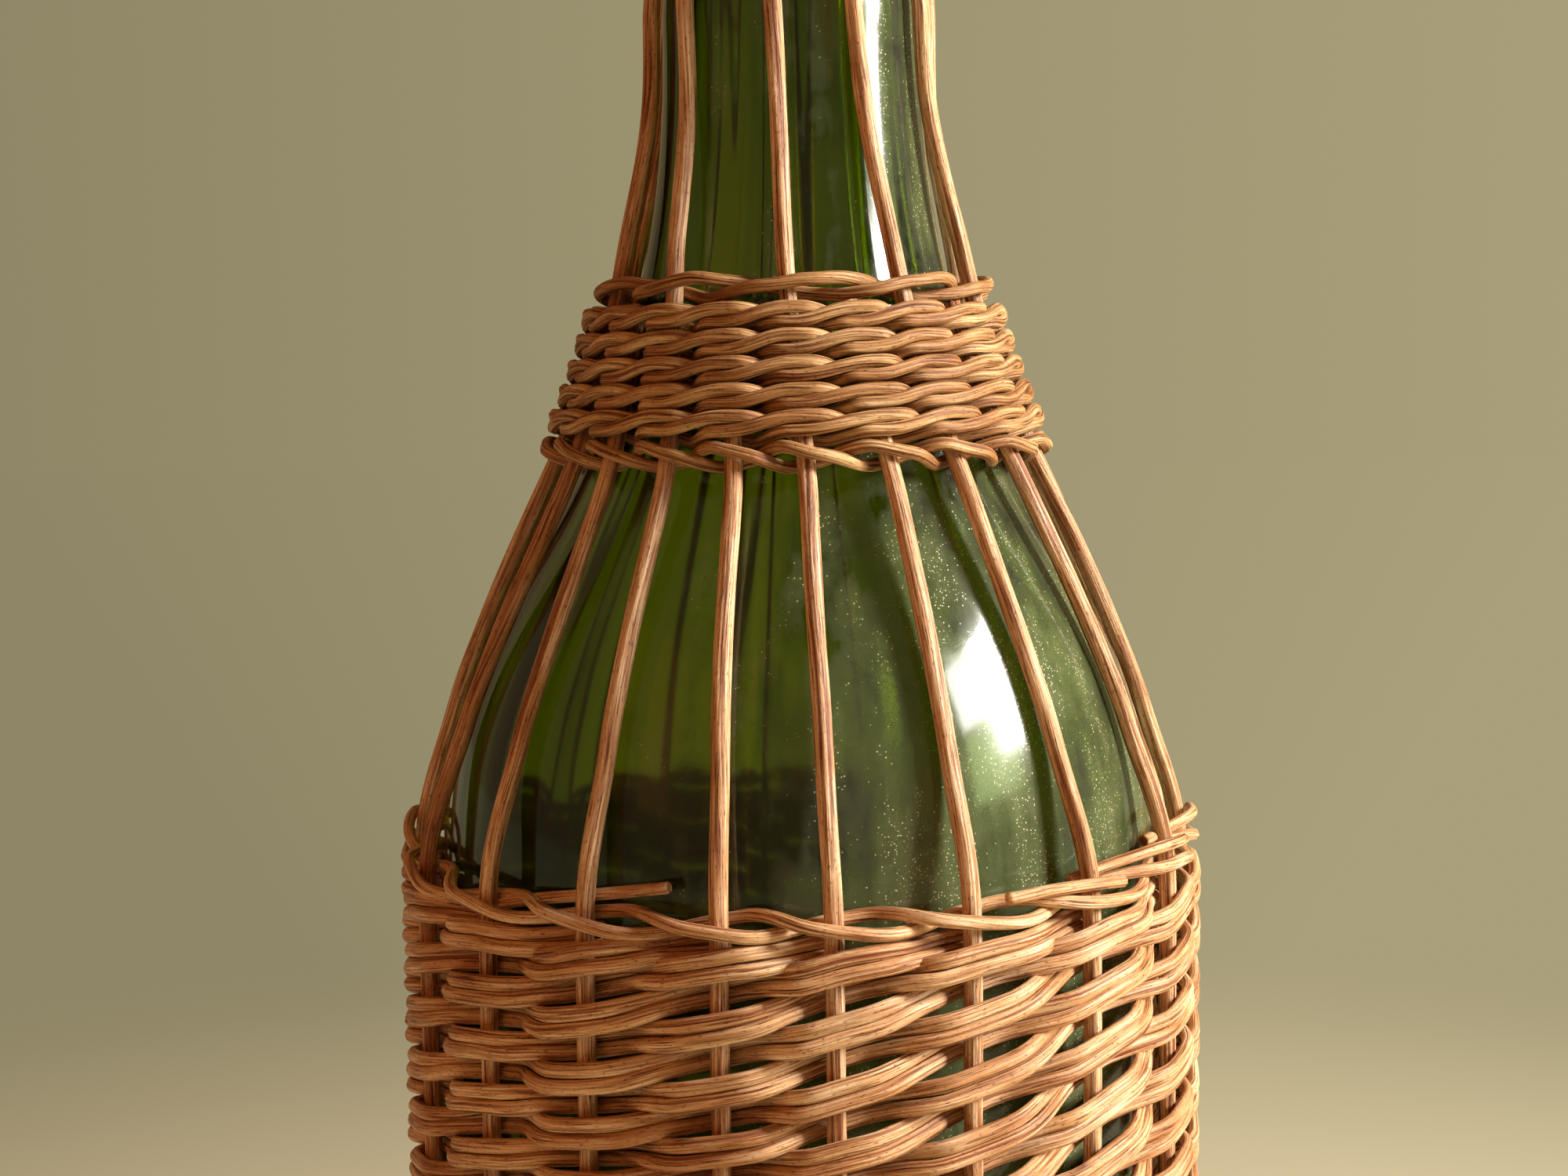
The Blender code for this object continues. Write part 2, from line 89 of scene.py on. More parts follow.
COLLAR_ROWS = 3
BAND_LIFT = 0.0735
COLLAR_DROP = 0.006
STAKE_TAIL = 0.003

STAKE_PITCH = 2 * math.pi / STAKE_COUNT
LEVEL_PITCH = 4 * WEAVER_RADIUS + CLEARANCE
ROW_HEIGHT = 4 * WALE_RADIUS
ROW_PITCH = ROW_HEIGHT + CLEARANCE
SHOULDER_FOOT = GLASS_FOOT + BODY_HEIGHT
NECK_FOOT = SHOULDER_FOOT + SHOULDER_HEIGHT
LIP_FOOT = MOUTH - LIP_HEIGHT
BARE_STANDOFF = STAKE_RADIUS + CLEARANCE + WEAVE_SLACK
WOVEN_STANDOFF = STAKE_RADIUS + CLEARANCE + 2 * WALE_RADIUS + CLEARANCE
SLEWING_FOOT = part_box("weaver_pair_01")[0].z + 2 * WEAVER_RADIUS
SLEWING_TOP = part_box("weaver_pair_01")[1].z - 2 * WEAVER_RADIUS
SLEWING_LEVELS = round((SLEWING_TOP - SLEWING_FOOT) / LEVEL_PITCH)
RIM_HEIGHT = SLEWING_TOP + 2 * WEAVER_RADIUS + CLEARANCE + ROW_HEIGHT / 2
RIM_TOP = RIM_HEIGHT + ROW_HEIGHT / 2
BAND_FOOT = SHOULDER_FOOT + BAND_LIFT
BAND_TOP = BAND_FOOT + BAND_ROWS * ROW_PITCH
COLLAR_FOOT = LIP_FOOT - COLLAR_DROP - COLLAR_ROWS * ROW_PITCH
print("levels of slewing:", SLEWING_LEVELS, "rim at", round(RIM_HEIGHT, 4), "mouth at", round(MOUTH, 4))

# %% [markdown]
# ## The line that the stakes follow
#
# Seen from the side, the glass is an upright wall, one cubic curve for the shoulder and a
# gently tapering neck. Five small functions are enough for every outline: a cubic curve, the
# shoulder made of it, a smooth step, the distance travelled along an outline, and the
# direction square to it.


# %% Outline functions
def cubic(a, b, c, d, share):
    """The cubic curve that starts at a, ends at d and is pulled by b and c."""
    rest = 1 - share
    return rest**3 * a + 3 * rest**2 * share * b + 3 * rest * share**2 * c + share**3 * d


def shoulder(share):
    """Radius and height on the glass shoulder, from the body (0) to the neck (1)."""
    radius = cubic(BODY_RADIUS, BODY_RADIUS, NECK_RADIUS, NECK_RADIUS, share)
    low_pull = SHOULDER_FOOT + SHOULDER_ROUND_SHARE * SHOULDER_HEIGHT
    high_pull = NECK_FOOT - SHOULDER_HOLLOW_SHARE * SHOULDER_HEIGHT
    return radius, cubic(SHOULDER_FOOT, low_pull, high_pull, NECK_FOOT, share)


def eased(value, start, end):
    """0 before start, 1 after end, and a smooth step 3s^2 - 2s^3 between them."""
    share = np.clip((value - start) / (end - start), 0, 1)
    return share * share * (3 - 2 * share)


def travelled(radius, height):
    """Distance along an outline from its first point."""
    return np.concatenate(([0], np.cumsum(np.hypot(np.diff(radius), np.diff(height)))))


def square_out(radius, height):
    """Unit vectors square to an outline, pointing away from the axis."""
    run, rise = np.gradient(radius), np.gradient(height)
    length = np.hypot(run, rise)
    return rise / length, -run / length


print("the shoulder is", round(travelled(*shoulder(np.linspace(0, 1, 400)))[-1], 4), "m long")

# %% [markdown]
# A stake stands off the glass by a weaver's thickness where there is weaving, and lies close
# to it where it is bare. Worked out once as a table of even steps, this line carries every
# other cane: a place on the cover is an angle round the axis, a distance up the line and a
# distance out from it.

# %% The stake line
SHOULDER_POINTS = 400
LINE_POINTS = 800
radius, height = shoulder(np.linspace(0, 1, SHOULDER_POINTS))
radius = np.concatenate(([BODY_RADIUS], radius, [NECK_TOP_RADIUS]))
height = np.concatenate(([0], height, [LIP_FOOT]))
steps = travelled(radius, height)
even = np.linspace(0, steps[-1], LINE_POINTS)
radius, height = np.interp(even, steps, radius), np.interp(even, steps, height)
out_radius, out_height = square_out(radius, height)
woven = 1 - eased(height, RIM_TOP, RIM_TOP + RIM_EASE)
in_band = eased(height, BAND_FOOT - SHOULDER_EASE, BAND_FOOT)
in_band = in_band * (1 - eased(height, BAND_TOP, BAND_TOP + NECK_EASE))
woven = np.maximum.reduce([woven, in_band, eased(height, COLLAR_FOOT - NECK_EASE, COLLAR_FOOT)])
standoff = BARE_STANDOFF + (WOVEN_STANDOFF - BARE_STANDOFF) * woven
LINE_RADIUS = radius + standoff * out_radius
LINE_HEIGHT = height + standoff * out_height
LINE_ALONG = travelled(LINE_RADIUS, LINE_HEIGHT)
LINE_OUT = square_out(LINE_RADIUS, LINE_HEIGHT)


def along_at(z):
    """Distance up the stake line at a height."""
    return float(np.interp(z, LINE_HEIGHT, LINE_ALONG))


print("stake line:", round(LINE_ALONG[-1], 4), "m long")

# %% [markdown]
# ## Where the stakes stand
#
# Stakes are set by hand and never quite evenly, and the weaving drags them round as it is
# beaten down: here they lean to the left on the way up. Each row of numbers says, stake by
# stake, how many degrees it stands to the right of its even place, at the rim, at the band's
# foot, at the band's top and up the neck. The weavers must bend with the stakes, so the shift
# belongs to the cover's own coordinates: every cane is placed by the same function.

# %% Turns of the stakes
STAKE_SHIFTS = np.radians((
    (-1, -0.5, 2, 7, 6.5, 5, 3.5, 2, 0.5, -1, 1, -0.5, -2, -1.5, -2, -3, -3.5, 0.5, 1, 2),
    (-3, -2, -3, 0.5, 2, 3, 2, 0.5, -1, 0.5, 1, -1, -1.5, 0, 1.5, 4, 5.5, 3, 1.5, -0.5),
    (-0.5, -0.5, -0.5, 2, 4.5, 3.5, 2.5, 1, 0, -1, -1.5, 0, 1, 1, 0.5, 0.5, 0.5, -0.5, -1.5, -1),
    (1, -1, -3, -2, -0.5, 1, 2, 1.5, 1, 0, -1, -0.5, 0, 1, 1.5, 1.5, 1.5, -0.5, -2, -0.5),
))
LEAN_STATIONS = [along_at(z) for z in (BAND_FOOT, BAND_TOP, LIP_FOOT)]
SHIFT_STATIONS = [along_at(z) for z in (RIM_TOP, BAND_FOOT, BAND_TOP, NECK_FOOT)]
BEND_LENGTH = 0.012


def angles_up_the_line():
    """For each stake, its turn from its even place at every point of the stake line.

    The lean and the shifts run straight between their stations, and a moving average over
    BEND_LENGTH rounds the corners, because a cane bends and doesn't kink.
    """
    lean = np.interp(LINE_ALONG, LEAN_STATIONS, (0, BAND_LEAN, BAND_LEAN + NECK_LEAN))
    rows = np.array([np.interp(LINE_ALONG, SHIFT_STATIONS, column) - lean for column in STAKE_SHIFTS.T])
    width = int(BEND_LENGTH / (LINE_ALONG[1] - LINE_ALONG[0])) // 2
    padded = np.pad(rows, ((0, 0), (width, width)), "edge")
    totals = np.cumsum(np.pad(padded, ((0, 0), (1, 0))), axis=1)
    smooth = (totals[:, 2 * width + 1:] - totals[:, :-2 * width - 1]) / (2 * width + 1)
    return np.concatenate((smooth, smooth[:1]))


LINE_TURNS = angles_up_the_line()
print("stakes lean", round(math.degrees(BAND_LEAN + NECK_LEAN), 1), "degrees to the left")

# %% [markdown]
# A place between two stakes turns by a mix of the turns of both, weighed by how near it is to
# each. With that, on_cover carries any curve of the cover into space, as a map's projection
# does with its grid.


# %% Places on the cover
def turn_there(turn, along):
    """The true angle of a place: the turns of the stakes on both sides of it, mixed by nearness."""
    number = np.mod((turn - FIRST_STAKE_TURN) / STAKE_PITCH, STAKE_COUNT)
    stake = np.minimum(number.astype(int), STAKE_COUNT - 1)
    between = number - stake
    place = np.interp(along, LINE_ALONG, np.arange(len(LINE_ALONG)))
    low = np.minimum(place.astype(int), len(LINE_ALONG) - 2)
    up = place - low
    left = LINE_TURNS[stake, low] * (1 - up) + LINE_TURNS[stake, low + 1] * up
    right = LINE_TURNS[stake + 1, low] * (1 - up) + LINE_TURNS[stake + 1, low + 1] * up
    return turn + left * (1 - between) + right * between


def on_cover(turn, along, out):
    """Points and outward directions at angles, distances up the line and distances out."""
    turn, along, out = np.broadcast_arrays(turn, along, out)
    angle = turn_there(turn, along)
    level = np.interp(along, LINE_ALONG, LINE_OUT[0])
    lift = np.interp(along, LINE_ALONG, LINE_OUT[1])
    reach = np.interp(along, LINE_ALONG, LINE_RADIUS) + out * level
    z = np.interp(along, LINE_ALONG, LINE_HEIGHT) + out * lift
    points = np.stack((reach * np.sin(angle), -reach * np.cos(angle), z), -1)
    outward = np.stack((level * np.sin(angle), -level * np.cos(angle), lift), -1)
    return points, outward


def stake_turn(index):
    """Angle of a stake round the axis, before the shifts."""
    return FIRST_STAKE_TURN + index * STAKE_PITCH


at_rim = turn_there(np.array([stake_turn(0), stake_turn(1)]), along_at(RIM_TOP))
print("the first two stakes stand", round(math.degrees(at_rim[1] - at_rim[0]), 1), "degrees apart at the rim")

# %% [markdown]
# ## One cane as a grid
#
# A curve with a round bevel would give a cane in one step, but a smooth one, like a plastic
# tube. So a cane is worked out as a closed surface of two parameters: how far along its path,
# and how far round. Nothing that grew is quite regular, and two helpers come first: a smooth
# random curve for every slow wandering, and the faces of a tube with closed ends.


# %% Wandering curves and tube faces
def wander(rng, along, wavelength):
    """A smooth random curve of about unit height: a sum of three sines of random phase."""
    waves = wavelength / np.array((1.0, 1.7, 2.9))
    phases = rng.uniform(0, 2 * math.pi, 3)
    heights = np.array((0.55, 0.3, 0.15))
    return np.sin(2 * math.pi * np.asarray(along)[..., None] / waves + phases) @ heights


def tube_faces(rings, sides):
    """Quads between rings, and the two fans of triangles that close the ends."""
    here = np.arange(sides)[None, :]
    following = (here + 1) % sides
    row = np.arange(rings - 1)[:, None] * sides
    quads = np.stack((row + here, row + following, row + sides + following, row + sides + here), -1)
    here, following = here[0], following[0]
    last = (rings - 1) * sides
    start = np.stack((following, here, np.full(sides, rings * sides)), -1)
    finish = np.stack((last + here, last + following, np.full(sides, rings * sides + 1)), -1)
    return quads.reshape(-1, 4), np.concatenate((start, finish))


print("faces of a tube of 3 rings of 8:", [len(faces) for faces in tube_faces(3, 8)])

# %% [markdown]
# Round the middle line, each ring is a circle whose radius rises and falls from point to
# point, because peeled cane has long ridges and grooves. A few grooves are deep and the rest
# are shallow, and each comes and goes along the cane. The ring is set by the path's direction
# and by the direction away from the bottle, so the seam of the pattern always faces the glass.
# Two values travel with every point for the material: the cane's tone and the groove's depth.

# %% The surface of a cane
CANE_SIDES = 22
GROOVE_COUNT = 8
GROOVE_DEPTH = 0.16
SHALLOW_GROOVE = 0.16
DEEP_GROOVE = (0.4, 0.84)
GROOVE_LENGTH = (0.03, 0.11)
GROOVE_FADE = (0.65, 0.6)
SLOW_TWIST = 0.3
TWIST_LENGTH = 0.09
THINNING = 0.02
THINNING_LENGTH = 0.03
TONE_SPREAD = (0.1, 0.9)
TONE_DRIFT = 0.18
TONE_LENGTH = 0.16
END_BEVEL = 0.00006
END_SHARE = 0.86
END_GROOVE = 0.8


def cane(points, outward, thickness, rng, depth=GROOVE_DEPTH, spiral=0.0, sides=CANE_SIDES, flat=0.0):
    """One cane along a path, as a dictionary of arrays.

    The ring at path point p is p + r(k, s) (cos k * out + sin k * side), where r is the
    thickness less the depth of groove k at distance s. A groove fades in and out along the
    cane, and spiral turns them all round it, in radians for each metre. flat presses the ring
    in by that share and widens it by the same share.
    """
    along = np.concatenate(([0], np.cumsum(np.linalg.norm(np.diff(points, axis=0), axis=1))))
    tangent = np.gradient(points, axis=0)
    tangent /= np.linalg.norm(tangent, axis=1, keepdims=True)
    out = outward - np.sum(outward * tangent, 1, keepdims=True) * tangent
    out /= np.linalg.norm(out, axis=1, keepdims=True)
    side = np.cross(tangent, out)
    turns = np.arange(sides) / sides * 2 * math.pi
    angle = math.pi + turns + (SLOW_TWIST * wander(rng, along, TWIST_LENGTH) + spiral * along)[:, None]
    deep = rng.uniform(0, SHALLOW_GROOVE, sides)
    deepest = rng.choice(sides, min(GROOVE_COUNT, sides // 2), replace=False)
    deep[deepest] += rng.uniform(*DEEP_GROOVE)
    lengths = rng.uniform(*GROOVE_LENGTH, sides)
    phases = rng.uniform(0, 2 * math.pi, sides)
    waves_along = np.sin(2 * math.pi * along[:, None] / lengths + phases)
    groove = deep * np.clip(GROOVE_FADE[0] + GROOVE_FADE[1] * waves_along, 0, 1)
    ring = thickness * (1 - depth * groove)
    ring = ring * (1 - THINNING * (1 + wander(rng, along, THINNING_LENGTH)))[:, None]
    spoke = (1 - flat) * np.cos(angle)[..., None] * out[:, None]
    spoke = spoke + (1 + flat) * np.sin(angle)[..., None] * side[:, None]
    grid = points[:, None] + ring[..., None] * spoke
    start = points[0] + END_SHARE * (grid[0] - points[0]) - END_BEVEL * tangent[0]
    finish = points[-1] + END_SHARE * (grid[-1] - points[-1]) + END_BEVEL * tangent[-1]
    grid = np.concatenate((start[None], grid, finish[None]))
    groove = np.concatenate((groove[:1], groove, groove[-1:]))
    along = np.concatenate(([-END_BEVEL], along, [along[-1] + END_BEVEL]))
    quads, fans = tube_faces(len(grid), sides)
    round_way = np.arange(sides + 1) / sides * 2 * math.pi * thickness
    corners = [np.broadcast_arrays(u[None], v[:, None]) for u, v in (
        (round_way[:-1], along[:-1]), (round_way[1:], along[:-1]),
        (round_way[1:], along[1:]), (round_way[:-1], along[1:]))]
    quad_uv = np.stack([np.stack(c, -1) for c in corners], 2).reshape(-1, 2)
    tone = np.clip(rng.uniform(*TONE_SPREAD) + TONE_DRIFT * wander(rng, along, TONE_LENGTH), 0, 1)
    return {
        "vertices": np.concatenate((grid.reshape(-1, 3), (grid[0].mean(0), grid[-1].mean(0)))),
        "quads": quads,
        "triangles": fans,
        "uv": np.concatenate((quad_uv, np.zeros((fans.size, 2)))) + rng.uniform(0, 1, 2),
        "tone": np.concatenate((np.repeat(tone, sides), tone[[0, -1]])),
        "groove": np.concatenate((groove.ravel(), (END_GROOVE, END_GROOVE))),
    }


print("a cane's ring has", CANE_SIDES, "points,", GROOVE_COUNT, "of them in deep grooves")

# %% [markdown]
# Several canes make one piece, which stands for one solid. Their arrays are joined and handed
# to Blender whole, which is much faster than one face at a time, and the piece rides on the
# body that it belongs to.


# %% From arrays to a piece
def make_piece(name, canes, material, body="bottle"):
    """Join cane grids into one mesh object, shade it smooth and let it ride on a body."""
    offsets = np.cumsum([0] + [len(c["vertices"]) for c in canes])
    vertices = np.concatenate([c["vertices"] for c in canes])
    corners = []
    totals = []
    for c, offset in zip(canes, offsets):
        corners += [(c["quads"] + offset).ravel(), (c["triangles"] + offset).ravel()]
        totals += [np.full(len(c["quads"]), 4), np.full(len(c["triangles"]), 3)]
    corners, totals = np.concatenate(corners), np.concatenate(totals)
    mesh = bpy.data.meshes.new(name)
    mesh.vertices.add(len(vertices))
    mesh.vertices.foreach_set("co", vertices.astype(np.float32).ravel())
    mesh.loops.add(len(corners))
    mesh.loops.foreach_set("vertex_index", corners.astype(np.int32))
    mesh.polygons.add(len(totals))
    starts = np.concatenate(([0], np.cumsum(totals)[:-1]))
    mesh.polygons.foreach_set("loop_start", starts.astype(np.int32))
    mesh.update(calc_edges=True)
    grain = np.concatenate([c["uv"] for c in canes]).astype(np.float32)
    mesh.uv_layers.new(name="grain").data.foreach_set("uv", grain.ravel())
    for label in ("tone", "groove"):
        values = np.concatenate([c[label] for c in canes]).astype(np.float32)
        mesh.attributes.new(label, "FLOAT", "POINT").data.foreach_set("value", values)
    mesh.shade_smooth()
    mesh.materials.append(material)
    piece = bpy.data.objects.new(name, mesh)
    bpy.context.scene.collection.objects.link(piece)
    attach(piece, body)
    return piece


def finish_piece(name, canes, material, node, body="bottle"):
    """Make a piece, let it stand for a node of the solid model and give it a material slot."""
    piece = make_piece(name, canes, material, body)
    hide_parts(node)


print("nodes to be dressed:", len(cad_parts))

# %% [markdown]
# ## Materials
#
# Colours are written as the sRGB hex values that a paint chart would give, and one function
# turns them into the linear values that the shader wants. Another adds a node with its
# settings and links, so a material reads as a list.


# %% Material helpers
def linear(hex_colour):
    """An sRGB hex colour as linear RGBA."""
    channels = [int(hex_colour[i:i + 2], 16) / 255 for i in (0, 2, 4)]
    return (*[c / 12.92 if c <= 0.04045 else ((c + 0.055) / 1.055) ** 2.4 for c in channels], 1.0)


def new_material(name):
    """A material with a Principled shader, its node tree and that shader."""
    material = bpy.data.materials.new(name)
    material.use_nodes = True
    tree = material.node_tree
    return material, tree, tree.nodes["Principled BSDF"]


def add_node(tree, kind, settings=None, inputs=None):
    """Add a node. inputs maps a socket's name or number to a value or to another socket.

    The setting stops is a colour ramp's list of (position, hex colour).
    """
    node = tree.nodes.new(kind)
    for key, value in (settings or {}).items():
        if key != "stops":
            setattr(node, key, value)
            continue
        elements = node.color_ramp.elements
        while len(elements) < len(value):
            elements.new(0.5)
        for element, (position, colour) in zip(elements, value):
            element.position = position
            element.color = linear(colour)
    for key, value in (inputs or {}).items():
        if isinstance(value, bpy.types.NodeSocket):
            tree.links.new(value, node.inputs[key])
        else:
            node.inputs[key].default_value = value
    return node


MULTIPLY_COLOUR = {"data_type": "RGBA", "blend_type": "MULTIPLY"}
print("hex BABABA is linear", round(linear("BABABA")[0], 2))

# %% [markdown]
# ### Peeled centre cane
#
# Centre cane is the porous core of rattan, drawn through a die into round rod. Its long fibres
# and open pores show as fine lines along the rod, and drying opens short cracks. It is sold
# pale, and light and handling turn it from straw through honey to orange brown, in patches
# some 18 mm long. The grooves are coloured darker than the ridges: partly dirt that settles
# in them, partly painted shade. An image of cane wrapped round the rods would repeat, so the
# lines are noise, stretched along the rod in its own UV map, which counts metres round and
# along. Real fibres are 0.1 to 0.2 mm wide and real pores are finer: both are drawn about
# twice as coarse, so that they show.

# %% Cane materials
FIBRE_WIDTH = 0.00034
FIBRE_LENGTH = 0.013
PORE_WIDTH = 0.00026
PORE_LENGTH = 0.0011
CRACK_WIDTH = 0.0004
CRACK_LENGTH = 0.009
PATCHES_PER_METRE = 55.0
GRAIN_RELIEF = 0.0003


def cane_material(name, dark, middle, light, roughness):
    """Cane from three tones: between the fibres, body and fibre. It looks satin, never glossy."""
    material, tree, shader = new_material(name)
    uv = add_node(tree, "ShaderNodeUVMap", {"uv_map": "grain"}).outputs["UV"]
    lines = []
    for width, length, detail, grit in ((FIBRE_WIDTH, FIBRE_LENGTH, 4.0, 0.62),
                                        (PORE_WIDTH, PORE_LENGTH, 2.0, 0.5),
                                        (CRACK_WIDTH, CRACK_LENGTH, 2.0, 0.5)):
        place = add_node(tree, "ShaderNodeMapping", inputs={
            "Vector": uv, "Scale": (1 / width, 1 / length, 1)}).outputs["Vector"]
        lines.append(add_node(tree, "ShaderNodeTexNoise", inputs={
            "Vector": place, "Scale": 1.0, "Detail": detail, "Roughness": grit}).outputs["Fac"])
    fibre, pore, crack = lines
    tone = add_node(tree, "ShaderNodeAttribute", {"attribute_name": "tone"}).outputs["Fac"]
    groove = add_node(tree, "ShaderNodeAttribute", {"attribute_name": "groove"}).outputs["Fac"]
    patch = add_node(tree, "ShaderNodeTexNoise", inputs={
        "Vector": add_node(tree, "ShaderNodeTexCoord").outputs["Object"],
        "Scale": PATCHES_PER_METRE, "Detail": 3.0, "Roughness": 0.55}).outputs["Fac"]
    colour = add_node(tree, "ShaderNodeValToRGB", {"stops": [(0.32, dark), (0.50, middle), (0.68, light)]},
                      {"Fac": fibre}).outputs["Color"]
    for strength, factor, stops in (
            (0.6, tone, [(0.0, "D2A678"), (0.5, "FFF6E8"), (1.0, "FFFFFF")]),
            (0.55, patch, [(0.35, "C29466"), (0.6, "FFFFFF")]),
            # the grooves' darker colour: partly dirt, partly painted shade
            (0.9, groove, [(0.12, "FFFFFF"), (0.85, "90501E")]),
            (0.8, pore, [(0.30, "7C4418"), (0.39, "FFFFFF")]),
            (0.75, crack, [(0.33, "7C4418"), (0.40, "FFFFFF")])):
        by = add_node(tree, "ShaderNodeValToRGB", {"stops": stops}, {"Fac": factor}).outputs["Color"]
        colour = add_node(tree, "ShaderNodeMix", MULTIPLY_COLOUR, {
            "Factor": strength, 6: colour, 7: by}).outputs[2]
    tree.links.new(colour, shader.inputs["Base Color"])
    rough = add_node(tree, "ShaderNodeMapRange", inputs={
        "Value": fibre, "From Min": 0.3, "From Max": 0.7, "To Min": roughness + 0.15,
        "To Max": roughness - 0.08}).outputs["Result"]
    tree.links.new(rough, shader.inputs["Roughness"])
    relief = add_node(tree, "ShaderNodeMath", {"operation": "MULTIPLY_ADD"}, {0: pore, 1: 0.3, 2: fibre})
    bump = add_node(tree, "ShaderNodeBump", inputs={
        "Height": relief.outputs["Value"], "Strength": 0.7, "Distance": GRAIN_RELIEF}).outputs["Normal"]
    tree.links.new(bump, shader.inputs["Normal"])
    shader.inputs["IOR"].default_value = 1.5
    shader.inputs["Specular IOR Level"].default_value = 0.2
    return material


stake_cane = cane_material("peeled_cane_stakes", "84461C", "E0B486", "FCEBD0", 0.38)
weaver_cane = cane_material("peeled_cane_weavers", "88461A", "E3B684", "FCEAD0", 0.40)
wale_cane = cane_material("peeled_cane_waling", "6E3C16", "C8A06E", "F0D8AE", 0.46)
print("cane materials:", stake_cane.name, weaver_cane.name, wale_cane.name)

# %% [markdown]
# ### Bottle glass
#
# Bottle green comes from iron and chromium in the melt, all through the wall. So the colour is
# not on the surface: light is absorbed for every millimetre that it travels in the glass, and
# the thick lip and the edges, which it crosses at a slant, turn nearly black. The outside
# carries a film of fine dust, thickest on the right and low on the shoulder, and gathered in
# upright streaks 6 mm wide. The eye sees it as a pale veil with grains in it. Where the veil is
# thin, its colour is green: painted light, for the light that comes through the green glass and
# falls on the dust. Single specks are drawn about 0.2 mm across, coarser than most real ones, so
# that they show: as geometry they would cost far more and look the same.

# %% Glass material
GLASS_DENSITY = 850.0
DUST_SPACING = 0.00045
STREAK_WIDTH = 0.006
STREAK_HEIGHT = 0.07
FILM_PER_METRE = 60.0
HAZE = 0.25


def glass_material():
    """Clear smooth glass, deep olive green inside, with dust outside whose thin veil holds painted green
    light.
    """
    material, tree, shader = new_material("bottle_green_glass")
    place = add_node(tree, "ShaderNodeTexCoord").outputs["Object"]
    wiped = add_node(tree, "ShaderNodeMapping", inputs={
        "Vector": place, "Scale": (1 / STREAK_WIDTH, 1 / STREAK_WIDTH, 1 / STREAK_HEIGHT)}).outputs["Vector"]
    streak = add_node(tree, "ShaderNodeTexNoise", inputs={
        "Vector": wiped, "Scale": 1.0, "Detail": 3.0, "Roughness": 0.6}).outputs["Fac"]
    film = add_node(tree, "ShaderNodeTexNoise", inputs={
        "Vector": place, "Scale": FILM_PER_METRE, "Detail": 5.0, "Roughness": 0.65}).outputs["Fac"]
    axes = add_node(tree, "ShaderNodeSeparateXYZ", inputs={"Vector": place})
    amount = add_node(tree, "ShaderNodeMapRange", inputs={
        "Value": axes.outputs["X"], "From Min": -0.025, "From Max": 0.02, "To Min": -0.25,
        "To Max": 0.2}).outputs["Result"]
    settled = add_node(tree, "ShaderNodeMapRange", inputs={
        "Value": axes.outputs["Z"], "From Min": 0.225, "From Max": 0.17, "To Min": 0.0,
        "To Max": 0.2}).outputs["Result"]
    for more in (settled, film, streak):
        amount = add_node(tree, "ShaderNodeMath", {"operation": "ADD"}, {0: amount, 1: more}).outputs["Value"]
    amount = add_node(tree, "ShaderNodeMapRange", inputs={
        "Value": amount, "From Min": 0.98, "From Max": 1.75}).outputs["Result"]
    cells = add_node(tree, "ShaderNodeTexVoronoi", {"feature": "F1"}, {
        "Vector": place, "Scale": 1 / DUST_SPACING, "Randomness": 1.0})
    dot = add_node(tree, "ShaderNodeMapRange", inputs={
        "Value": cells.outputs["Distance"], "From Min": 0.14, "From Max": 0.34, "To Min": 1.0,
        "To Max": 0.0}).outputs["Result"]
    chance = add_node(tree, "ShaderNodeSeparateColor", inputs={"Color": cells.outputs["Color"]})
    crowd = add_node(tree, "ShaderNodeMapRange", inputs={
        "Value": streak, "From Min": 0.46, "From Max": 0.6, "To Min": 0.2, "To Max": 1.8}).outputs["Result"]
    crowd = add_node(tree, "ShaderNodeMath", {"operation": "MULTIPLY"}, {
        0: crowd, 1: amount}).outputs["Value"]
    specks = add_node(tree, "ShaderNodeMath", {"operation": "LESS_THAN"}, {
        0: chance.outputs[0], 1: crowd}).outputs["Value"]
    for share in (dot, chance.outputs[1]):
        specks = add_node(tree, "ShaderNodeMath", {"operation": "MULTIPLY"}, {
            0: specks, 1: share}).outputs["Value"]
    haze = add_node(tree, "ShaderNodeMath", {"operation": "MULTIPLY"}, {0: amount, 1: HAZE}).outputs["Value"]
    dust = add_node(tree, "ShaderNodeMath", {"operation": "MULTIPLY_ADD", "use_clamp": True}, {
        0: specks, 1: 0.8, 2: haze}).outputs["Value"]
    clear = add_node(tree, "ShaderNodeMath", {"operation": "SUBTRACT"}, {0: 1.0, 1: dust}).outputs["Value"]
    # Pale for specks and thick dust. The thin veil is green: painted light, for light that comes through the
    # glass.
    colour = add_node(tree, "ShaderNodeValToRGB", {
        "stops": [(0.0, "F2F4E4"), (0.08, "BCCE8A"), (0.22, "BECA8C"), (0.5, "DCD4A4")]},
        {"Fac": dust}).outputs["Color"]
    rough = add_node(tree, "ShaderNodeMapRange", inputs={
        "Value": dust, "From Min": 0.0, "From Max": 0.5, "To Min": 0.08,
        "To Max": 0.3}).outputs["Result"]
    tree.links.new(colour, shader.inputs["Base Color"])
    tree.links.new(clear, shader.inputs["Transmission Weight"])
    tree.links.new(rough, shader.inputs["Roughness"])
    shader.inputs["IOR"].default_value = 1.52
    inside = add_node(tree, "ShaderNodeVolumeAbsorption", inputs={
        "Color": (0.68, 0.74, 0.08, 1.0), "Density": GLASS_DENSITY})
    tree.links.new(inside.outputs["Volume"], tree.nodes["Material Output"].inputs["Volume"])
    return material


bottle_glass = glass_material()
print("glass material:", bottle_glass.name, "with", len(bottle_glass.node_tree.nodes), "nodes")

# %% [markdown]
# ## The bottle
#
# Glass is turned from one outline: up the inside, over the lip and down the outside. A Screw
# modifier could turn it, but only perfectly round, and this wall is to swim a little, so the
# radius has to depend on the angle too. The outline uses the same cubic shoulder as the solid,
# with many more points. Three helpers draw its round corners, its upright walls and the punt,
# the dome that is pushed up into the foot.

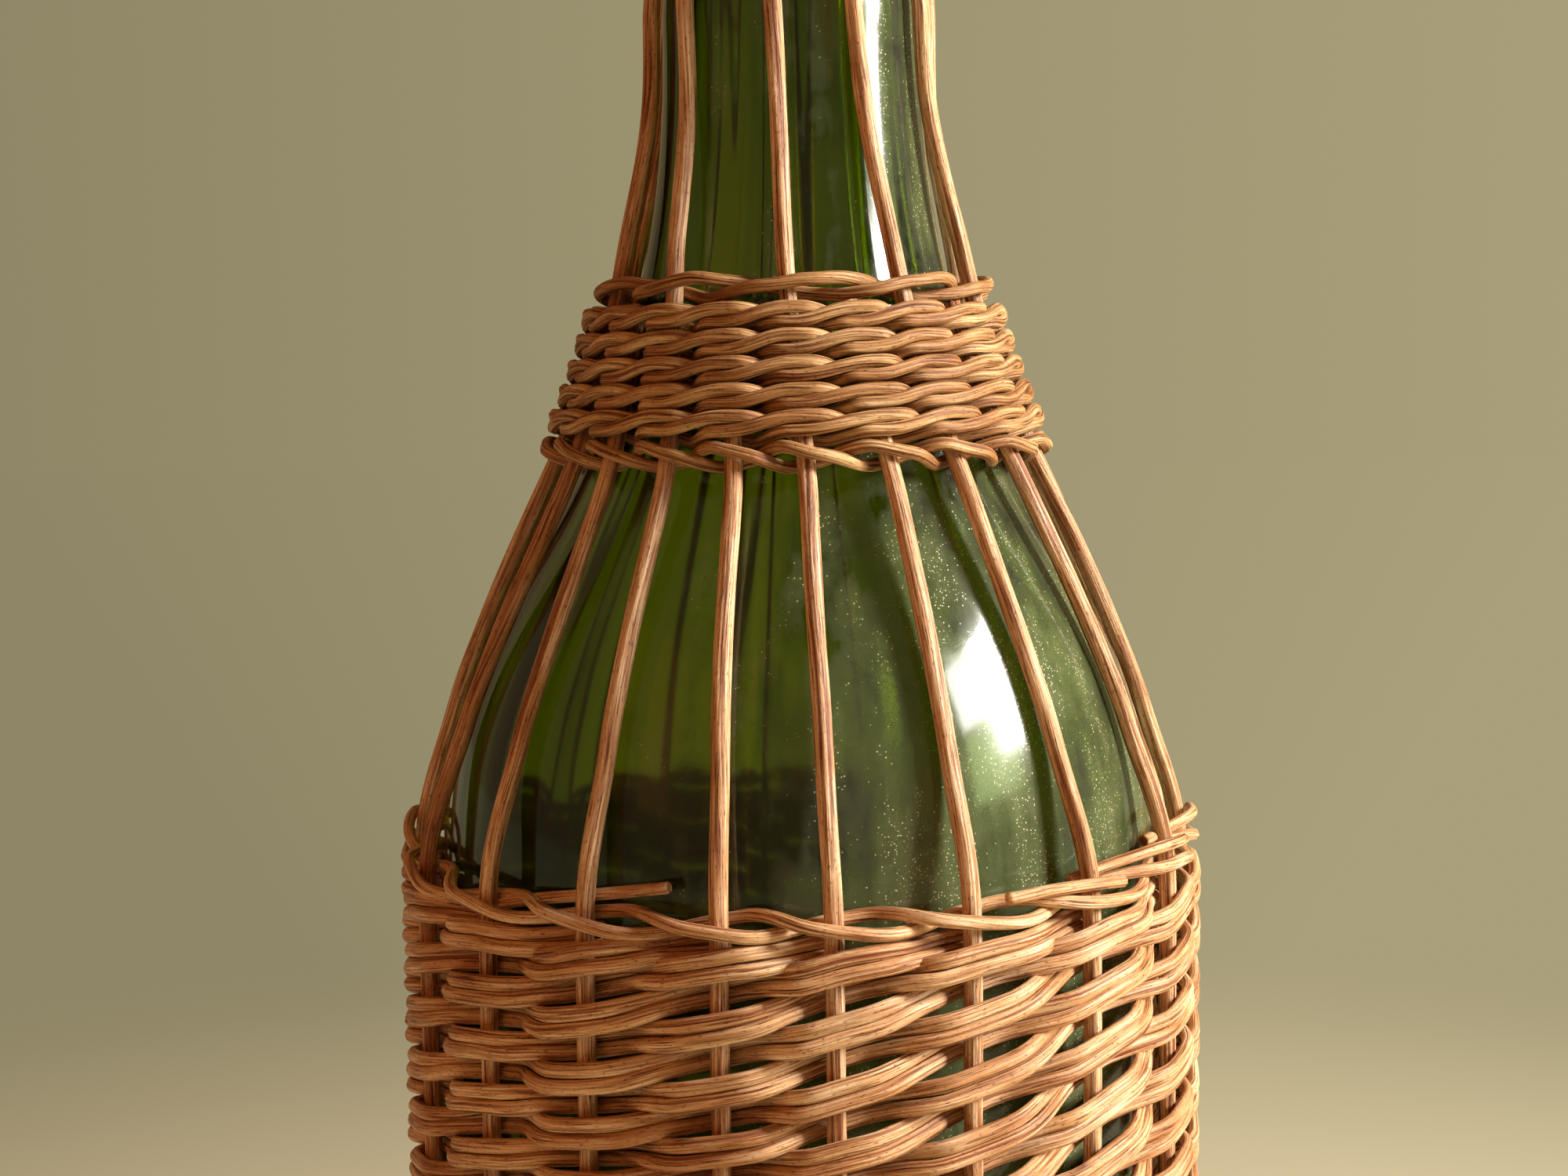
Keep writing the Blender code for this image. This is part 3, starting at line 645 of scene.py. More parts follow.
# %% Corners and punt
GLASS_WALL = 0.003
PUNT_HEIGHT = 0.016
PUNT_RADIUS = 0.044
PUNT_POINTS = 24


def arc(centre_radius, centre_height, size, start, end, count):
    """Points on a circular arc in the outline's plane, between two angles in degrees."""
    angle = np.radians(np.linspace(start, end, count))
    return np.stack((centre_radius + size * np.cos(angle), centre_height + size * np.sin(angle)), 1)


def dome(base, wall):
    """The punt's outline from its top on the axis down to its foot: a cosine bell."""
    share = np.linspace(0, 1, PUNT_POINTS)
    rise = PUNT_HEIGHT * 0.5 * (1 + np.cos(math.pi * share))
    return np.stack((PUNT_RADIUS * share, base + wall + rise), 1)


def upright(radius, start, end, count):
    """Points at one radius between two heights, without the two ends."""
    return np.stack((np.full(count, radius), np.linspace(start, end, count + 2)[1:-1]), 1)


print("the punt is", round(1000 * PUNT_HEIGHT), "mm high")

# %% [markdown]
# A blown or moulded bottle is never perfectly round or even, and that is what makes its
# reflections swim. So the whole wall carries a slow ripple of a tenth or two of a millimetre,
# and the inside, which no mould touched, has deeper lengthwise waves that show as lighter and
# darker bands of green.

# %% Turning an outline
RIPPLE = 0.00012
STREAK_DEPTH = 0.0002
RIPPLE_WAVES = np.array(((3, 40, 0), (5, -65, 1), (2, 95, 2)))
WALL_WAVES = np.array(((4, 12, 0.4), (7, -9, 2), (11, 14, 3.1), (16, -7, 5), (23, 5, 1.2)))


def waves(kinds, angle, z):
    """A sum of sines round the axis, each with its own count, rise and start."""
    return sum(np.sin(count * angle + rise * z + start) for count, rise, start in kinds)


def turned(outline, sides, ripple, streaks):
    """A surface of revolution: the outline's radius carried round, with a small ripple.

    streaks gives each point of the outline its share of the deeper unevenness, which runs
    lengthwise.
    """
    angle = np.arange(sides) / sides * 2 * math.pi
    r, z = outline[:, 0:1], outline[:, 1:2]
    wave = ripple * waves(RIPPLE_WAVES, angle, z)
    wave = wave + STREAK_DEPTH * streaks[:, None] * waves(WALL_WAVES, angle, z)
    reach = r + wave * np.clip(r / NECK_RADIUS, 0, 1)
    return np.stack(np.broadcast_arrays(reach * np.cos(angle), reach * np.sin(angle), z), -1)


def turned_grid(outline, sides, ripple=0.0, streaks=None):
    """Turn an outline that starts and ends on the axis into a closed grid, as cane() gives.

    The faces are those of a tube, turned over, because the outside is walked downward here.
    """
    streaks = np.zeros(len(outline)) if streaks is None else streaks
    grid = turned(outline[1:-1], sides, ripple, streaks[1:-1])
    vertices = np.concatenate((grid.reshape(-1, 3), [(0, 0, outline[0, 1]), (0, 0, outline[-1, 1])]))
    quads, fans = tube_faces(len(grid), sides)
    return {
        "vertices": vertices,
        "quads": np.roll(quads[:, ::-1], 1, 1),
        "triangles": np.roll(fans[:, ::-1], -1, 1),
        "uv": np.zeros((quads.size + fans.size, 2)),
        "tone": np.full(len(vertices), 0.5),
        "groove": np.zeros(len(vertices)),
    }


print("the inside is uneven by up to", round(1000 * STREAK_DEPTH * len(WALL_WAVES), 1), "mm")

# %% [markdown]
# The outline starts on the axis at the top of the punt. The wall thickens from 3 mm in the
# body to over 4 mm at the root of the neck, where the glass is gathered. The solid's measures
# are repeated here, so the fine bottle fills the same space. The inside grows even over the
# last 20 mm below the bore.

# %% The fine bottle
NECK_THICKENING = 0.0012
THICK_FROM = 0.06
HEEL_RADIUS = 0.009
LIP_RADIUS = 0.0185
LIP_ROUNDING = 0.0025
LIP_TUCK = 0.0006
BORE_RADIUS = 0.011
CORK_DEPTH = 0.022
GLASS_SIDES = 200
WALL_POINTS = 30
SHOULDER_RINGS = 90
THROAT_RINGS = 24
CALM_LENGTH = 0.02
outer_r, outer_z = shoulder(np.linspace(0, 1, SHOULDER_RINGS))
face_r, face_z = square_out(outer_r, outer_z)
wall = GLASS_WALL + NECK_THICKENING * eased(outer_z, SHOULDER_FOOT + THICK_FROM, NECK_FOOT)
heel = BODY_RADIUS - HEEL_RADIUS
heel_top = GLASS_FOOT + HEEL_RADIUS
inside = np.concatenate((
    dome(GLASS_FOOT, GLASS_WALL),
    arc(heel, heel_top, HEEL_RADIUS - GLASS_WALL, -90, 0, 10),
    upright(BODY_RADIUS - GLASS_WALL, heel_top, SHOULDER_FOOT, WALL_POINTS),
    np.stack((outer_r - wall * face_r, outer_z - wall * face_z), 1),
))
bore_foot = MOUTH - CORK_DEPTH - LIP_HEIGHT
share = np.linspace(0, 1, THROAT_RINGS)[1:, None]
throat = inside[-1] + (np.array((BORE_RADIUS, bore_foot)) - inside[-1]) * share
lip_round = LIP_RADIUS - LIP_ROUNDING
lip = np.concatenate((
    np.stack((np.full(8, BORE_RADIUS), np.linspace(bore_foot, MOUTH - LIP_ROUNDING, 9)[1:]), 1),
    arc(BORE_RADIUS + LIP_ROUNDING / 2, MOUTH - LIP_ROUNDING / 2, LIP_ROUNDING / 2, 180, 90, 6),
    arc(lip_round, MOUTH - LIP_ROUNDING, LIP_ROUNDING, 90, 0, 8),
    arc(lip_round, LIP_FOOT + LIP_ROUNDING, LIP_ROUNDING, 0, -80, 8),
))
neck = np.linspace((NECK_TOP_RADIUS, LIP_FOOT - LIP_TUCK), (NECK_RADIUS, NECK_FOOT), 20)[:-1]
outside = np.concatenate((
    neck,
    np.stack((outer_r, outer_z), 1)[::-1],
    upright(BODY_RADIUS, SHOULDER_FOOT, heel_top, WALL_POINTS),
    arc(heel, heel_top, HEEL_RADIUS, 0, -90, 12),
    dome(GLASS_FOOT, 0)[::-1],
))
glass_outline = np.concatenate((inside, throat, lip, outside))
on_inside = np.arange(len(glass_outline)) < len(inside) + len(throat)
uneven = on_inside * (1 - eased(glass_outline[:, 1], bore_foot - CALM_LENGTH, bore_foot))
glass = turned_grid(glass_outline, GLASS_SIDES, RIPPLE, uneven)
finish_piece("glass_bottle_fine", [glass], bottle_glass, "glass_bottle")
print("glass outline points:", len(glass_outline))

# %% [markdown]
# ## The stakes
#
# Twenty stakes of 3 mm cane stand round the bottle. Ten of them are cut off inside the shoulder
# band, where their ends just show, and the other ten go on up the neck. Copies of one stake
# turned round the axis would be quicker, but the eye finds copies at once. So each one is its
# own cane along the stake line, with a slow sideways drift of a fraction of a millimetre,
# because no cane is straight: the rows of weaving hold it, and it is free between them.

# %% Stakes
SAMPLE_STEP = 0.0014
SHORT_END = 0.0005
DRIFT_SEED = 300
DRIFT_WAVES = ((0.003, 0.026), (0.0016, 0.0085))
HELD_SHARE = 0.35
DRIFT_EASE = 0.02
stake_rng = np.random.default_rng(11)
stake_foot = along_at(CLEARANCE)
long_top = along_at(COLLAR_FOOT) + COLLAR_ROWS * ROW_PITCH + STAKE_TAIL
short_top = along_at(BAND_FOOT) + (BAND_ROWS - 1) * ROW_PITCH + SHORT_END


def stake_drift(index, along):
    """How far a stake strays sideways, as an angle: two sines, small where rows hold it."""
    phases = np.random.default_rng(DRIFT_SEED + index).uniform(0, 2 * math.pi, 2)
    sway = sum(size * np.sin(along / length + phase) for (size, length), phase in zip(DRIFT_WAVES, phases))
    free = eased(along, along_at(RIM_TOP), along_at(RIM_TOP) + DRIFT_EASE)
    return HELD_SHARE * sway + (1 - HELD_SHARE) * sway * free


for index in range(STAKE_COUNT):
    kind, top = ("long", long_top) if index % 2 == 0 else ("short", short_top)
    along = np.linspace(stake_foot, top, int((top - stake_foot) / SAMPLE_STEP))
    points, outward = on_cover(stake_turn(index) + stake_drift(index, along), along, 0.0)
    node = f"{kind}_stake_{index // 2 + 1:02d}"
    stake = cane(points, outward, STAKE_RADIUS, stake_rng)
    finish_piece(node + "_cane", [stake], stake_cane, node)
print("stakes:", STAKE_COUNT)

# %% [markdown]
# ## The slewing
#
# The body is covered by slewing: weavers that work two together. Each pair passes in front of
# one stake and behind the next, and climbs one level from stake to stake, so it winds round
# the bottle to the right. With t counted in stakes from the pair's start, the distance out
# from the stakes swings with t and the height is proportional to t. Forty canes drawn by hand
# as curves would cut into each other somewhere, and one formula for all of them keeps their
# distances.
#
# Hand work is never level. A field of small rises and falls, the same for all pairs, keeps
# neighbours from cutting into each other, and named shifts follow the photograph: the rows lie
# up to 2.4 mm higher than their solids in the upper body, a little less near the middle of the
# front, and up to 1.8 mm lower at the foot, where they close up with the first rows.

# %% How the rows settle
CONTACT = 0.00002
TOP_STRETCH = 0.0016
TOP_STRETCH_LENGTH = 0.04
ROW_LIFT = 0.0024
LIFT_HEIGHTS = (0.03, 0.12)
LIFT_DIP = 0.0008
DIP_TURN = 0.28
DIP_WIDTH = 0.4
FOOT_DROP = 0.0018
DROP_HEIGHTS = (0.014, 0.05)
FIELD_SIZE = 0.00026
FIELD_HEIGHTS = (0.012, 0.03)
FIELD_TURNS = np.array((2, 3, 5, 8, 11))
field_rng = np.random.default_rng(5)
FIELD_RISES = field_rng.uniform(30, 130, len(FIELD_TURNS))
FIELD_PHASES = field_rng.uniform(0, 2 * math.pi, len(FIELD_TURNS))
OUTWARD_CROSSING = (0.2, 0.8)
INWARD_CROSSING = (0.2, 0.94)


def between_heights(along, heights):
    """0 below the first height and 1 above the second, for distances up the stake line."""
    return eased(along, along_at(heights[0]), along_at(heights[1]))


def from_front(turn):
    """An angle round the axis, counted from the front: 0 there, positive to the right."""
    return np.mod(turn + math.pi, 2 * math.pi) - math.pi


def settle(turn, along):
    """The shared shifts of the rows, in metres: the named ones and waves round and up."""
    angle = turn[..., None] * FIELD_TURNS + along[..., None] * FIELD_RISES + FIELD_PHASES
    shift = TOP_STRETCH * between_heights(along, (SLEWING_TOP - TOP_STRETCH_LENGTH, SLEWING_TOP))
    dip = LIFT_DIP * np.exp(-((from_front(turn) - DIP_TURN) / DIP_WIDTH) ** 2)
    shift = shift + (ROW_LIFT - dip) * between_heights(along, LIFT_HEIGHTS)
    shift = shift - FOOT_DROP * (1 - between_heights(along, DROP_HEIGHTS))
    return FIELD_SIZE * np.sin(angle).sum(-1) * between_heights(along, FIELD_HEIGHTS) + shift


def swing(t, period=2):
    """0 behind a stake and 1 in front of it.

    A cane comes out sharply in the middle of a gap and goes in again more slowly, because it
    is pulled round the far stake.
    """
    place = np.mod(t, period)
    return eased(place, *OUTWARD_CROSSING) - eased(place - period + 1, *INWARD_CROSSING)


at_front = settle(np.zeros(1), np.full(1, along_at(SLEWING_TOP)))
print("the top row is shifted", round(1000 * float(at_front[0]), 2), "mm at the front")

# %% [markdown]
# The two canes of a pair lie one on the other, both pressed a little flat. Where they cross
# from behind to the front, the pair tilts, so that it slips past the pair that goes in there.

# %% Weaver pairs
WEAVER_FULL = 0.00115
WEAVER_FLAT = 0.1
CROSSING_TILT = 0.65
TILT_SWAY = 0.25
TILT_LENGTH = 0.08
TAIL_SHARE = 0.07
LAST_STEP = 0.0022
SAMPLES_PER_STAKE = 13
GAP_LENGTH = 0.0206
OWN_RISE = 0.0001
OWN_RISE_LENGTH = 0.045
OWN_OUT = 0.00004
OWN_OUT_LENGTH = 0.05
WEAVER_SPIRAL = 9
weaver_rng = np.random.default_rng(23)
half_out, half_up = WEAVER_FULL * (1 - WEAVER_FLAT), WEAVER_FULL * (1 + WEAVER_FLAT)
touching = STAKE_RADIUS + half_out + CONTACT
samples = int((SLEWING_LEVELS + 2 * TAIL_SHARE) * SAMPLES_PER_STAKE)
t = np.linspace(-TAIL_SHARE, SLEWING_LEVELS + TAIL_SHARE, samples)
way = t * GAP_LENGTH
shift = swing(t)
for index in range(STAKE_COUNT):
    turn = stake_turn(index) + t * STAKE_PITCH
    level = along_at(SLEWING_FOOT) + np.clip(t, 0, SLEWING_LEVELS) * LEVEL_PITCH
    level = level + settle(turn, level) - LAST_STEP * eased(t, SLEWING_LEVELS - 1, SLEWING_LEVELS)
    sway = TILT_SWAY * wander(weaver_rng, way, TILT_LENGTH)
    tilt = 4 * shift * (1 - shift) * (sway - CROSSING_TILT)
    canes = []
    for side in (-1, 1):
        rise_by = side * half_up * np.cos(tilt) + OWN_RISE * wander(weaver_rng, way, OWN_RISE_LENGTH)
        own_out = OWN_OUT * (wander(weaver_rng, way, OWN_OUT_LENGTH) - 1)
        out_by = side * half_out * np.sin(tilt) + own_out
        points, outward = on_cover(turn, level + rise_by, touching * (2 * shift - 1) + out_by)
        spiral = weaver_rng.uniform(-WEAVER_SPIRAL, WEAVER_SPIRAL)
        canes.append(cane(points, outward, WEAVER_FULL, weaver_rng, spiral=spiral, flat=WEAVER_FLAT))
    node = f"weaver_pair_{index + 1:02d}"
    finish_piece(node + "_canes", canes, weaver_cane, node)
print("weaver canes:", 2 * STAKE_COUNT)

# %% [markdown]
# ## Waling and pairing
#
# The foot, the rim, the shoulder band and the collar are rows of canes that twist round each
# other as they go. In pairing, two canes change places in every gap. In waling, three canes
# each pass in front of two stakes and behind one, which gives the rope-like bands. A cane
# comes out low, rises across the front, goes in high and drops behind the stake. Both kinds
# come from one function, whose period is the number of canes.

# %% Twined rows
END_TUCK = 0.9
TUCK_LENGTH = 0.6
STEEP_RISE = 1.3
OVERLAP_STAKES = (0.8, 1.6)
SPARSE_POWER = 0.7
ROW_REACH = 0.05
ROW_RISE = 0.00014
ROW_RISE_LENGTH = 0.03
ROW_OUT = 0.00003
ROW_OUT_LENGTH = 0.035
ROW_SPIRAL = (30, 60)


def rise(t, period):
    """Height of a twined cane from -1 to 1: up across the front, down behind the stake."""
    place = np.mod(t, period)
    behind = np.where(place > period - 0.5, place - period, place)
    fall = -np.sin(math.pi * behind)
    climb = -np.cos(math.pi * (place - 0.5) / (period - 1))
    if period > 2:
        climb = np.sin(math.pi / 2 * np.clip(STEEP_RISE * climb, -1, 1))
    return np.where(np.abs(behind) <= 0.5, fall, climb)


def row_canes(along, stakes, number_of_canes, rng, rod=WALE_RADIUS, twist=1, seam=0, looseness=1.0,
              overlap=0.0, front_drop=0.0, lift=None):
    """The canes of one row of pairing (two) or waling (three) over a number of stakes.

    Each cane starts behind its own stake near the seam, low, and ends behind the stake where
    another began, high. overlap is how far a cane stands out over the newer one beside it,
    front_drop how far it sags in front of a stake, and lift a function that raises the row.
    """
    pitch = 2 * math.pi / stakes
    touching = STAKE_RADIUS + rod + CONTACT
    per_stake = SAMPLES_PER_STAKE * (STAKE_COUNT / stakes) ** SPARSE_POWER
    grids = []
    for number in range(number_of_canes):
        laps = math.ceil((stakes - number) / number_of_canes) * number_of_canes
        phase = np.linspace(-TAIL_SHARE, laps + TAIL_SHARE, int(laps * per_stake))
        turn = FIRST_STAKE_TURN + (seam + number + phase) * pitch
        way = phase * pitch * ROW_REACH
        shift = swing(phase, number_of_canes)
        outs = touching * (2 * shift - 1)
        outs = outs + overlap * shift * eased(np.mod(phase, number_of_canes), *OVERLAP_STAKES)
        tuck = eased(phase, laps - TUCK_LENGTH, laps) - (1 - eased(phase, 0, TUCK_LENGTH))
        rises = twist * rise(phase, number_of_canes) * rod + END_TUCK * rod * tuck
        rises = rises + looseness * ROW_RISE * wander(rng, way, ROW_RISE_LENGTH)
        outs = outs + looseness * ROW_OUT * (wander(rng, way, ROW_OUT_LENGTH) - 1)
        level = along + rises - front_drop * shift
        if lift is not None:
            level = level + lift(turn)
        points, outward = on_cover(turn, level, outs)
        grids.append(cane(points, outward, rod, rng, spiral=rng.uniform(*ROW_SPIRAL)))
    return grids


print("across the front a waled cane goes from", rise(0.5, 3), "to", rise(2.5, 3), "times its radius")

# %% [markdown]
# The foot has three rows of waling, which turn the stakes up. The shoulder band has a row of
# pairing, five of waling and a looser row of pairing over the long stakes alone, a little
# above the short stakes' ends. The collar has three rows of pairing. In the band each cane
# lies over the start of the next, as strands of a rope do.

# %% Foot, band and collar
UPSETT_ROD = 0.00102
BAND_ROD = 0.0011
COLLAR_ROD = 0.00112
BAND_OVERLAP = 0.0008
TOP_ROW_RAISE = 0.0009
LONG_STAKES = STAKE_COUNT // 2
BACK_SEAM = STAKE_COUNT // 2
row_rng = np.random.default_rng(41)

upsett = along_at(CLEARANCE) + ROW_HEIGHT / 2
for row in range(UPSETT_ROWS):
    grids = row_canes(upsett + row * ROW_PITCH, STAKE_COUNT, 3, row_rng, UPSETT_ROD, seam=BACK_SEAM + row - 2)
    node = f"upsett_wale_{row + 1}"
    finish_piece(node + "_canes", grids, weaver_cane, node)

band = along_at(BAND_FOOT) + ROW_HEIGHT / 2
for row in range(BAND_ROWS):
    level = band + row * ROW_PITCH
    kind = "pairing"
    if row == 0:
        grids = row_canes(level, STAKE_COUNT, 2, row_rng, twist=-1, seam=BACK_SEAM)
    elif row < BAND_ROWS - 1:
        kind = "wale"
        grids = row_canes(level, STAKE_COUNT, 3, row_rng, BAND_ROD, seam=BACK_SEAM + row % 3 - 2,
                          overlap=BAND_OVERLAP)
    else:
        grids = row_canes(level + TOP_ROW_RAISE, LONG_STAKES, 2, row_rng, BAND_ROD, seam=BACK_SEAM // 2,
                          looseness=2)
    node = f"band_{kind}_{row + 1}"
    finish_piece(node + "_canes", grids, wale_cane, node)

collar = along_at(COLLAR_FOOT) + ROW_HEIGHT / 2
for row in range(COLLAR_ROWS):
    grids = row_canes(collar + row * ROW_PITCH, LONG_STAKES, 2, row_rng, COLLAR_ROD, seam=BACK_SEAM // 2)
    node = f"collar_pairing_{row + 1}"
    finish_piece(node + "_canes", grids, wale_cane, node)
print("twined rows:", UPSETT_ROWS + BAND_ROWS + COLLAR_ROWS)

# %% [markdown]
# ### The rim, and the ends that stick out
#
# The rim holds the slewing down with one row of pairing. It was worked last and by eye, so it
# dips in front of each stake and climbs to the right. Some of the weavers' ends were laid in
# over it and cut off where they came out, and they are still there to be seen. Each loose end
# is a smooth curve through a few places on the cover, given as a stake's number, a height and
# a distance out from the stakes, both in millimetres.

# %% Rim row and loose ends
RIM_RAISE = 0.0010
RIM_DROP = 0.0006
RIM_CLIMB = 0.0022
RIM_CLIMB_TURNS = (0.6, 1.2)
RIM_FALL_TURNS = (1.7, 2.6)
RIM_SWAY = 0.0003
RIM_LOOSENESS = 2.5
END_POINTS = 34
LOOSE_ENDS = (
    ((-2.95, 166.4, -1.8), (-2.5, 168.6, -1.9), (-2.06, 170.3, -1.9), (-1.72, 171.5, -2.0),
     (-1.36, 172.8, -0.3)),
    ((1.22, 169.9, 1.9), (1.54, 170.3, 2.5), (1.9, 170.0, 2.62), (2.18, 169.4, 2.5)),
    ((1.9, 170.4, -2.2), (2.2, 171.4, -1.2), (2.45, 172.1, 1.4), (2.7, 172.2, 2.62),
     (3.12, 171.4, 2.62)),
    ((2.85, 172.6, -2.2), (3.25, 173.4, 0.8), (3.7, 173.2, 2.62), (4.2, 172.4, 2.6)),
    ((-6.1, 169.4, -2.2), (-5.6, 170.8, 0.6), (-5.25, 172.2, 2.3), (-4.9, 171.4, 2.5),
     (-4.6, 169.6, 1.6), (-4.3, 167.2, -1.4)),
)


def rim_lift(turn):
    """How much higher the rim is at an angle: it climbs on the right, round to the back."""
    angle = from_front(turn)
    climb = eased(angle, *RIM_CLIMB_TURNS) * (1 - eased(angle, *RIM_FALL_TURNS))
    return RIM_RAISE + RIM_CLIMB * climb + RIM_SWAY * np.sin(3 * turn + 1)


def smooth_path(stations, count):
    """A smooth curve through stations, from cubic arcs whose slopes are those of the chords."""
    stations = np.asarray(stations, float)
    slopes = np.gradient(stations, axis=0)
    t = np.linspace(0, len(stations) - 1, count)
    index = np.minimum(t.astype(int), len(stations) - 2)
    s = (t - index)[:, None]
    a, b = stations[index], stations[index + 1]
    slope_a, slope_b = slopes[index], slopes[index + 1]
    return ((2 * s**3 - 3 * s**2 + 1) * a + (s**3 - 2 * s**2 + s) * slope_a
            + (3 * s**2 - 2 * s**3) * b + (s**3 - s**2) * slope_b)


grids = row_canes(along_at(RIM_HEIGHT), STAKE_COUNT, 2, row_rng, twist=-1, seam=BACK_SEAM,
                  looseness=RIM_LOOSENESS, front_drop=RIM_DROP, lift=rim_lift)
for stations in LOOSE_ENDS:
    numbers, heights, outs = smooth_path(stations, END_POINTS).T
    level = np.interp(heights / 1000, LINE_HEIGHT, LINE_ALONG)
    points, outward = on_cover(stake_turn(numbers), level, outs / 1000)
    grids.append(cane(points, outward, WEAVER_RADIUS, row_rng))
finish_piece("rim_pairing_canes", grids, weaver_cane, "rim_pairing")
print("loose ends at the rim:", len(LOOSE_ENDS))

# %% [markdown]
# ## The base
#
# The cover starts from its base. Two bundles of five sticks are crossed, opened out like the
# spokes of a wheel and woven round with pairing: two canes that pass over and under the
# spokes and change places in each gap. It is seen only when the bottle is picked up, but a
# plain disc would look wrong then, so it is woven too. In the flat, a place is an angle, a
# distance from the axis and a height, and the height of a cane is a cosine of the angle.

# %% Base mat
BASE_MIDDLE = 0.0032
SPOKE_RADIUS = 0.0011
MAT_ROD = 0.00093
MAT_PITCH = 0.00183
MAT_INNER = 0.0178
MAT_OUTER = 0.0604
MAT_SWAY = 0.45
MAT_SAMPLES = 9
MAT_SIDES = 10
SPOKE_SIDES = 12
SPOKE_POINTS = 30
SPOKE_GAP = 0.0004
STICK_RADIUS = 0.0015
STICK_COUNT = 5
STICK_LENGTH = 0.032
base_rng = np.random.default_rng(77)
up = np.array((0.0, 0.0, 1.0))


def flat_cane(reach, turn, z, rod, sides):
    """A cane in the mat, from its distances, angles and heights."""
    points = np.stack(np.broadcast_arrays(reach * np.sin(turn), -reach * np.cos(turn), z), -1)
    return cane(points, np.broadcast_to(up, points.shape), rod, base_rng, sides=sides)


def mat_ring(ring_radius, number, start):
    """One cane of a pairing ring: round at a fixed radius, up and down past the spokes."""
    t = np.linspace(0, STAKE_COUNT, STAKE_COUNT * MAT_SAMPLES) + start
    turn = turn_there(FIRST_STAKE_TURN + t * STAKE_PITCH, 0.0)
    lift = (SPOKE_RADIUS + MAT_ROD) * np.cos(math.pi * (t + number))
    reach = ring_radius + MAT_SWAY * MAT_ROD * np.sin(math.pi * (t + number))
    return flat_cane(reach, turn, BASE_MIDDLE + lift, MAT_ROD, MAT_SIDES)


mat = []
for row in range(int((MAT_OUTER - MAT_INNER) / MAT_PITCH) + 1):
    for number in (0, 1):
        mat.append(mat_ring(MAT_INNER + row * MAT_PITCH, number, base_rng.integers(STAKE_COUNT)))
for index in range(STAKE_COUNT):
    reach = np.linspace(STICK_LENGTH / 2 + SPOKE_GAP, MAT_OUTER + MAT_ROD, SPOKE_POINTS)
    turn = turn_there(np.array(stake_turn(index)), 0.0)
    mat.append(flat_cane(reach, turn, BASE_MIDDLE, SPOKE_RADIUS, SPOKE_SIDES))
finish_piece("base_mat_canes", mat, weaver_cane, "base_weave")
print("canes in the base mat:", len(mat))

# %% [markdown]
# The crossed sticks lie in the open middle of the mat, the upper five square on the lower
# five. No two were cut to quite the same length.

# %% Base sticks
STICK_POINTS = 26
STICK_UNEVENNESS = 0.0006
for node, height, turn in (("base_sticks_lower", STICK_RADIUS, 0.0),
                           ("base_sticks_upper", 3 * STICK_RADIUS + CLEARANCE, math.pi / 2)):
    sticks = []
    for number in range(STICK_COUNT):
        across = (2 * number + 1 - STICK_COUNT) * STICK_RADIUS
        length = STICK_LENGTH / 2 - base_rng.uniform(0, STICK_UNEVENNESS)
        run = np.linspace(-length, length, STICK_POINTS)
        x = across * math.cos(turn) - run * math.sin(turn)
        y = across * math.sin(turn) + run * math.cos(turn)
        stick = np.stack((x, y, np.full(STICK_POINTS, height)), -1)
        sticks.append(cane(stick, np.broadcast_to(up, stick.shape), STICK_RADIUS, base_rng))
    finish_piece(node + "_canes", sticks, stake_cane, node)
print("base sticks:", 2 * STICK_COUNT)

# %% [markdown]
# ## The cork
#
# A cork is punched from bark across its grain, so the bark's pores run through it from side
# to side and show as dark pits on the round of it, about 3 mm apart, and its growth years as
# bands of lighter and darker tan, some 6 mm wide. It is dry and dull to the eye. The cells of
# real cork are far too fine to see: the noise that stands for them is about a millimetre
# coarse.

# %% Cork material
PORE_SPACING = 0.0028
CELLS_PER_METRE = 900.0
BANDS_PER_METRE = 160.0


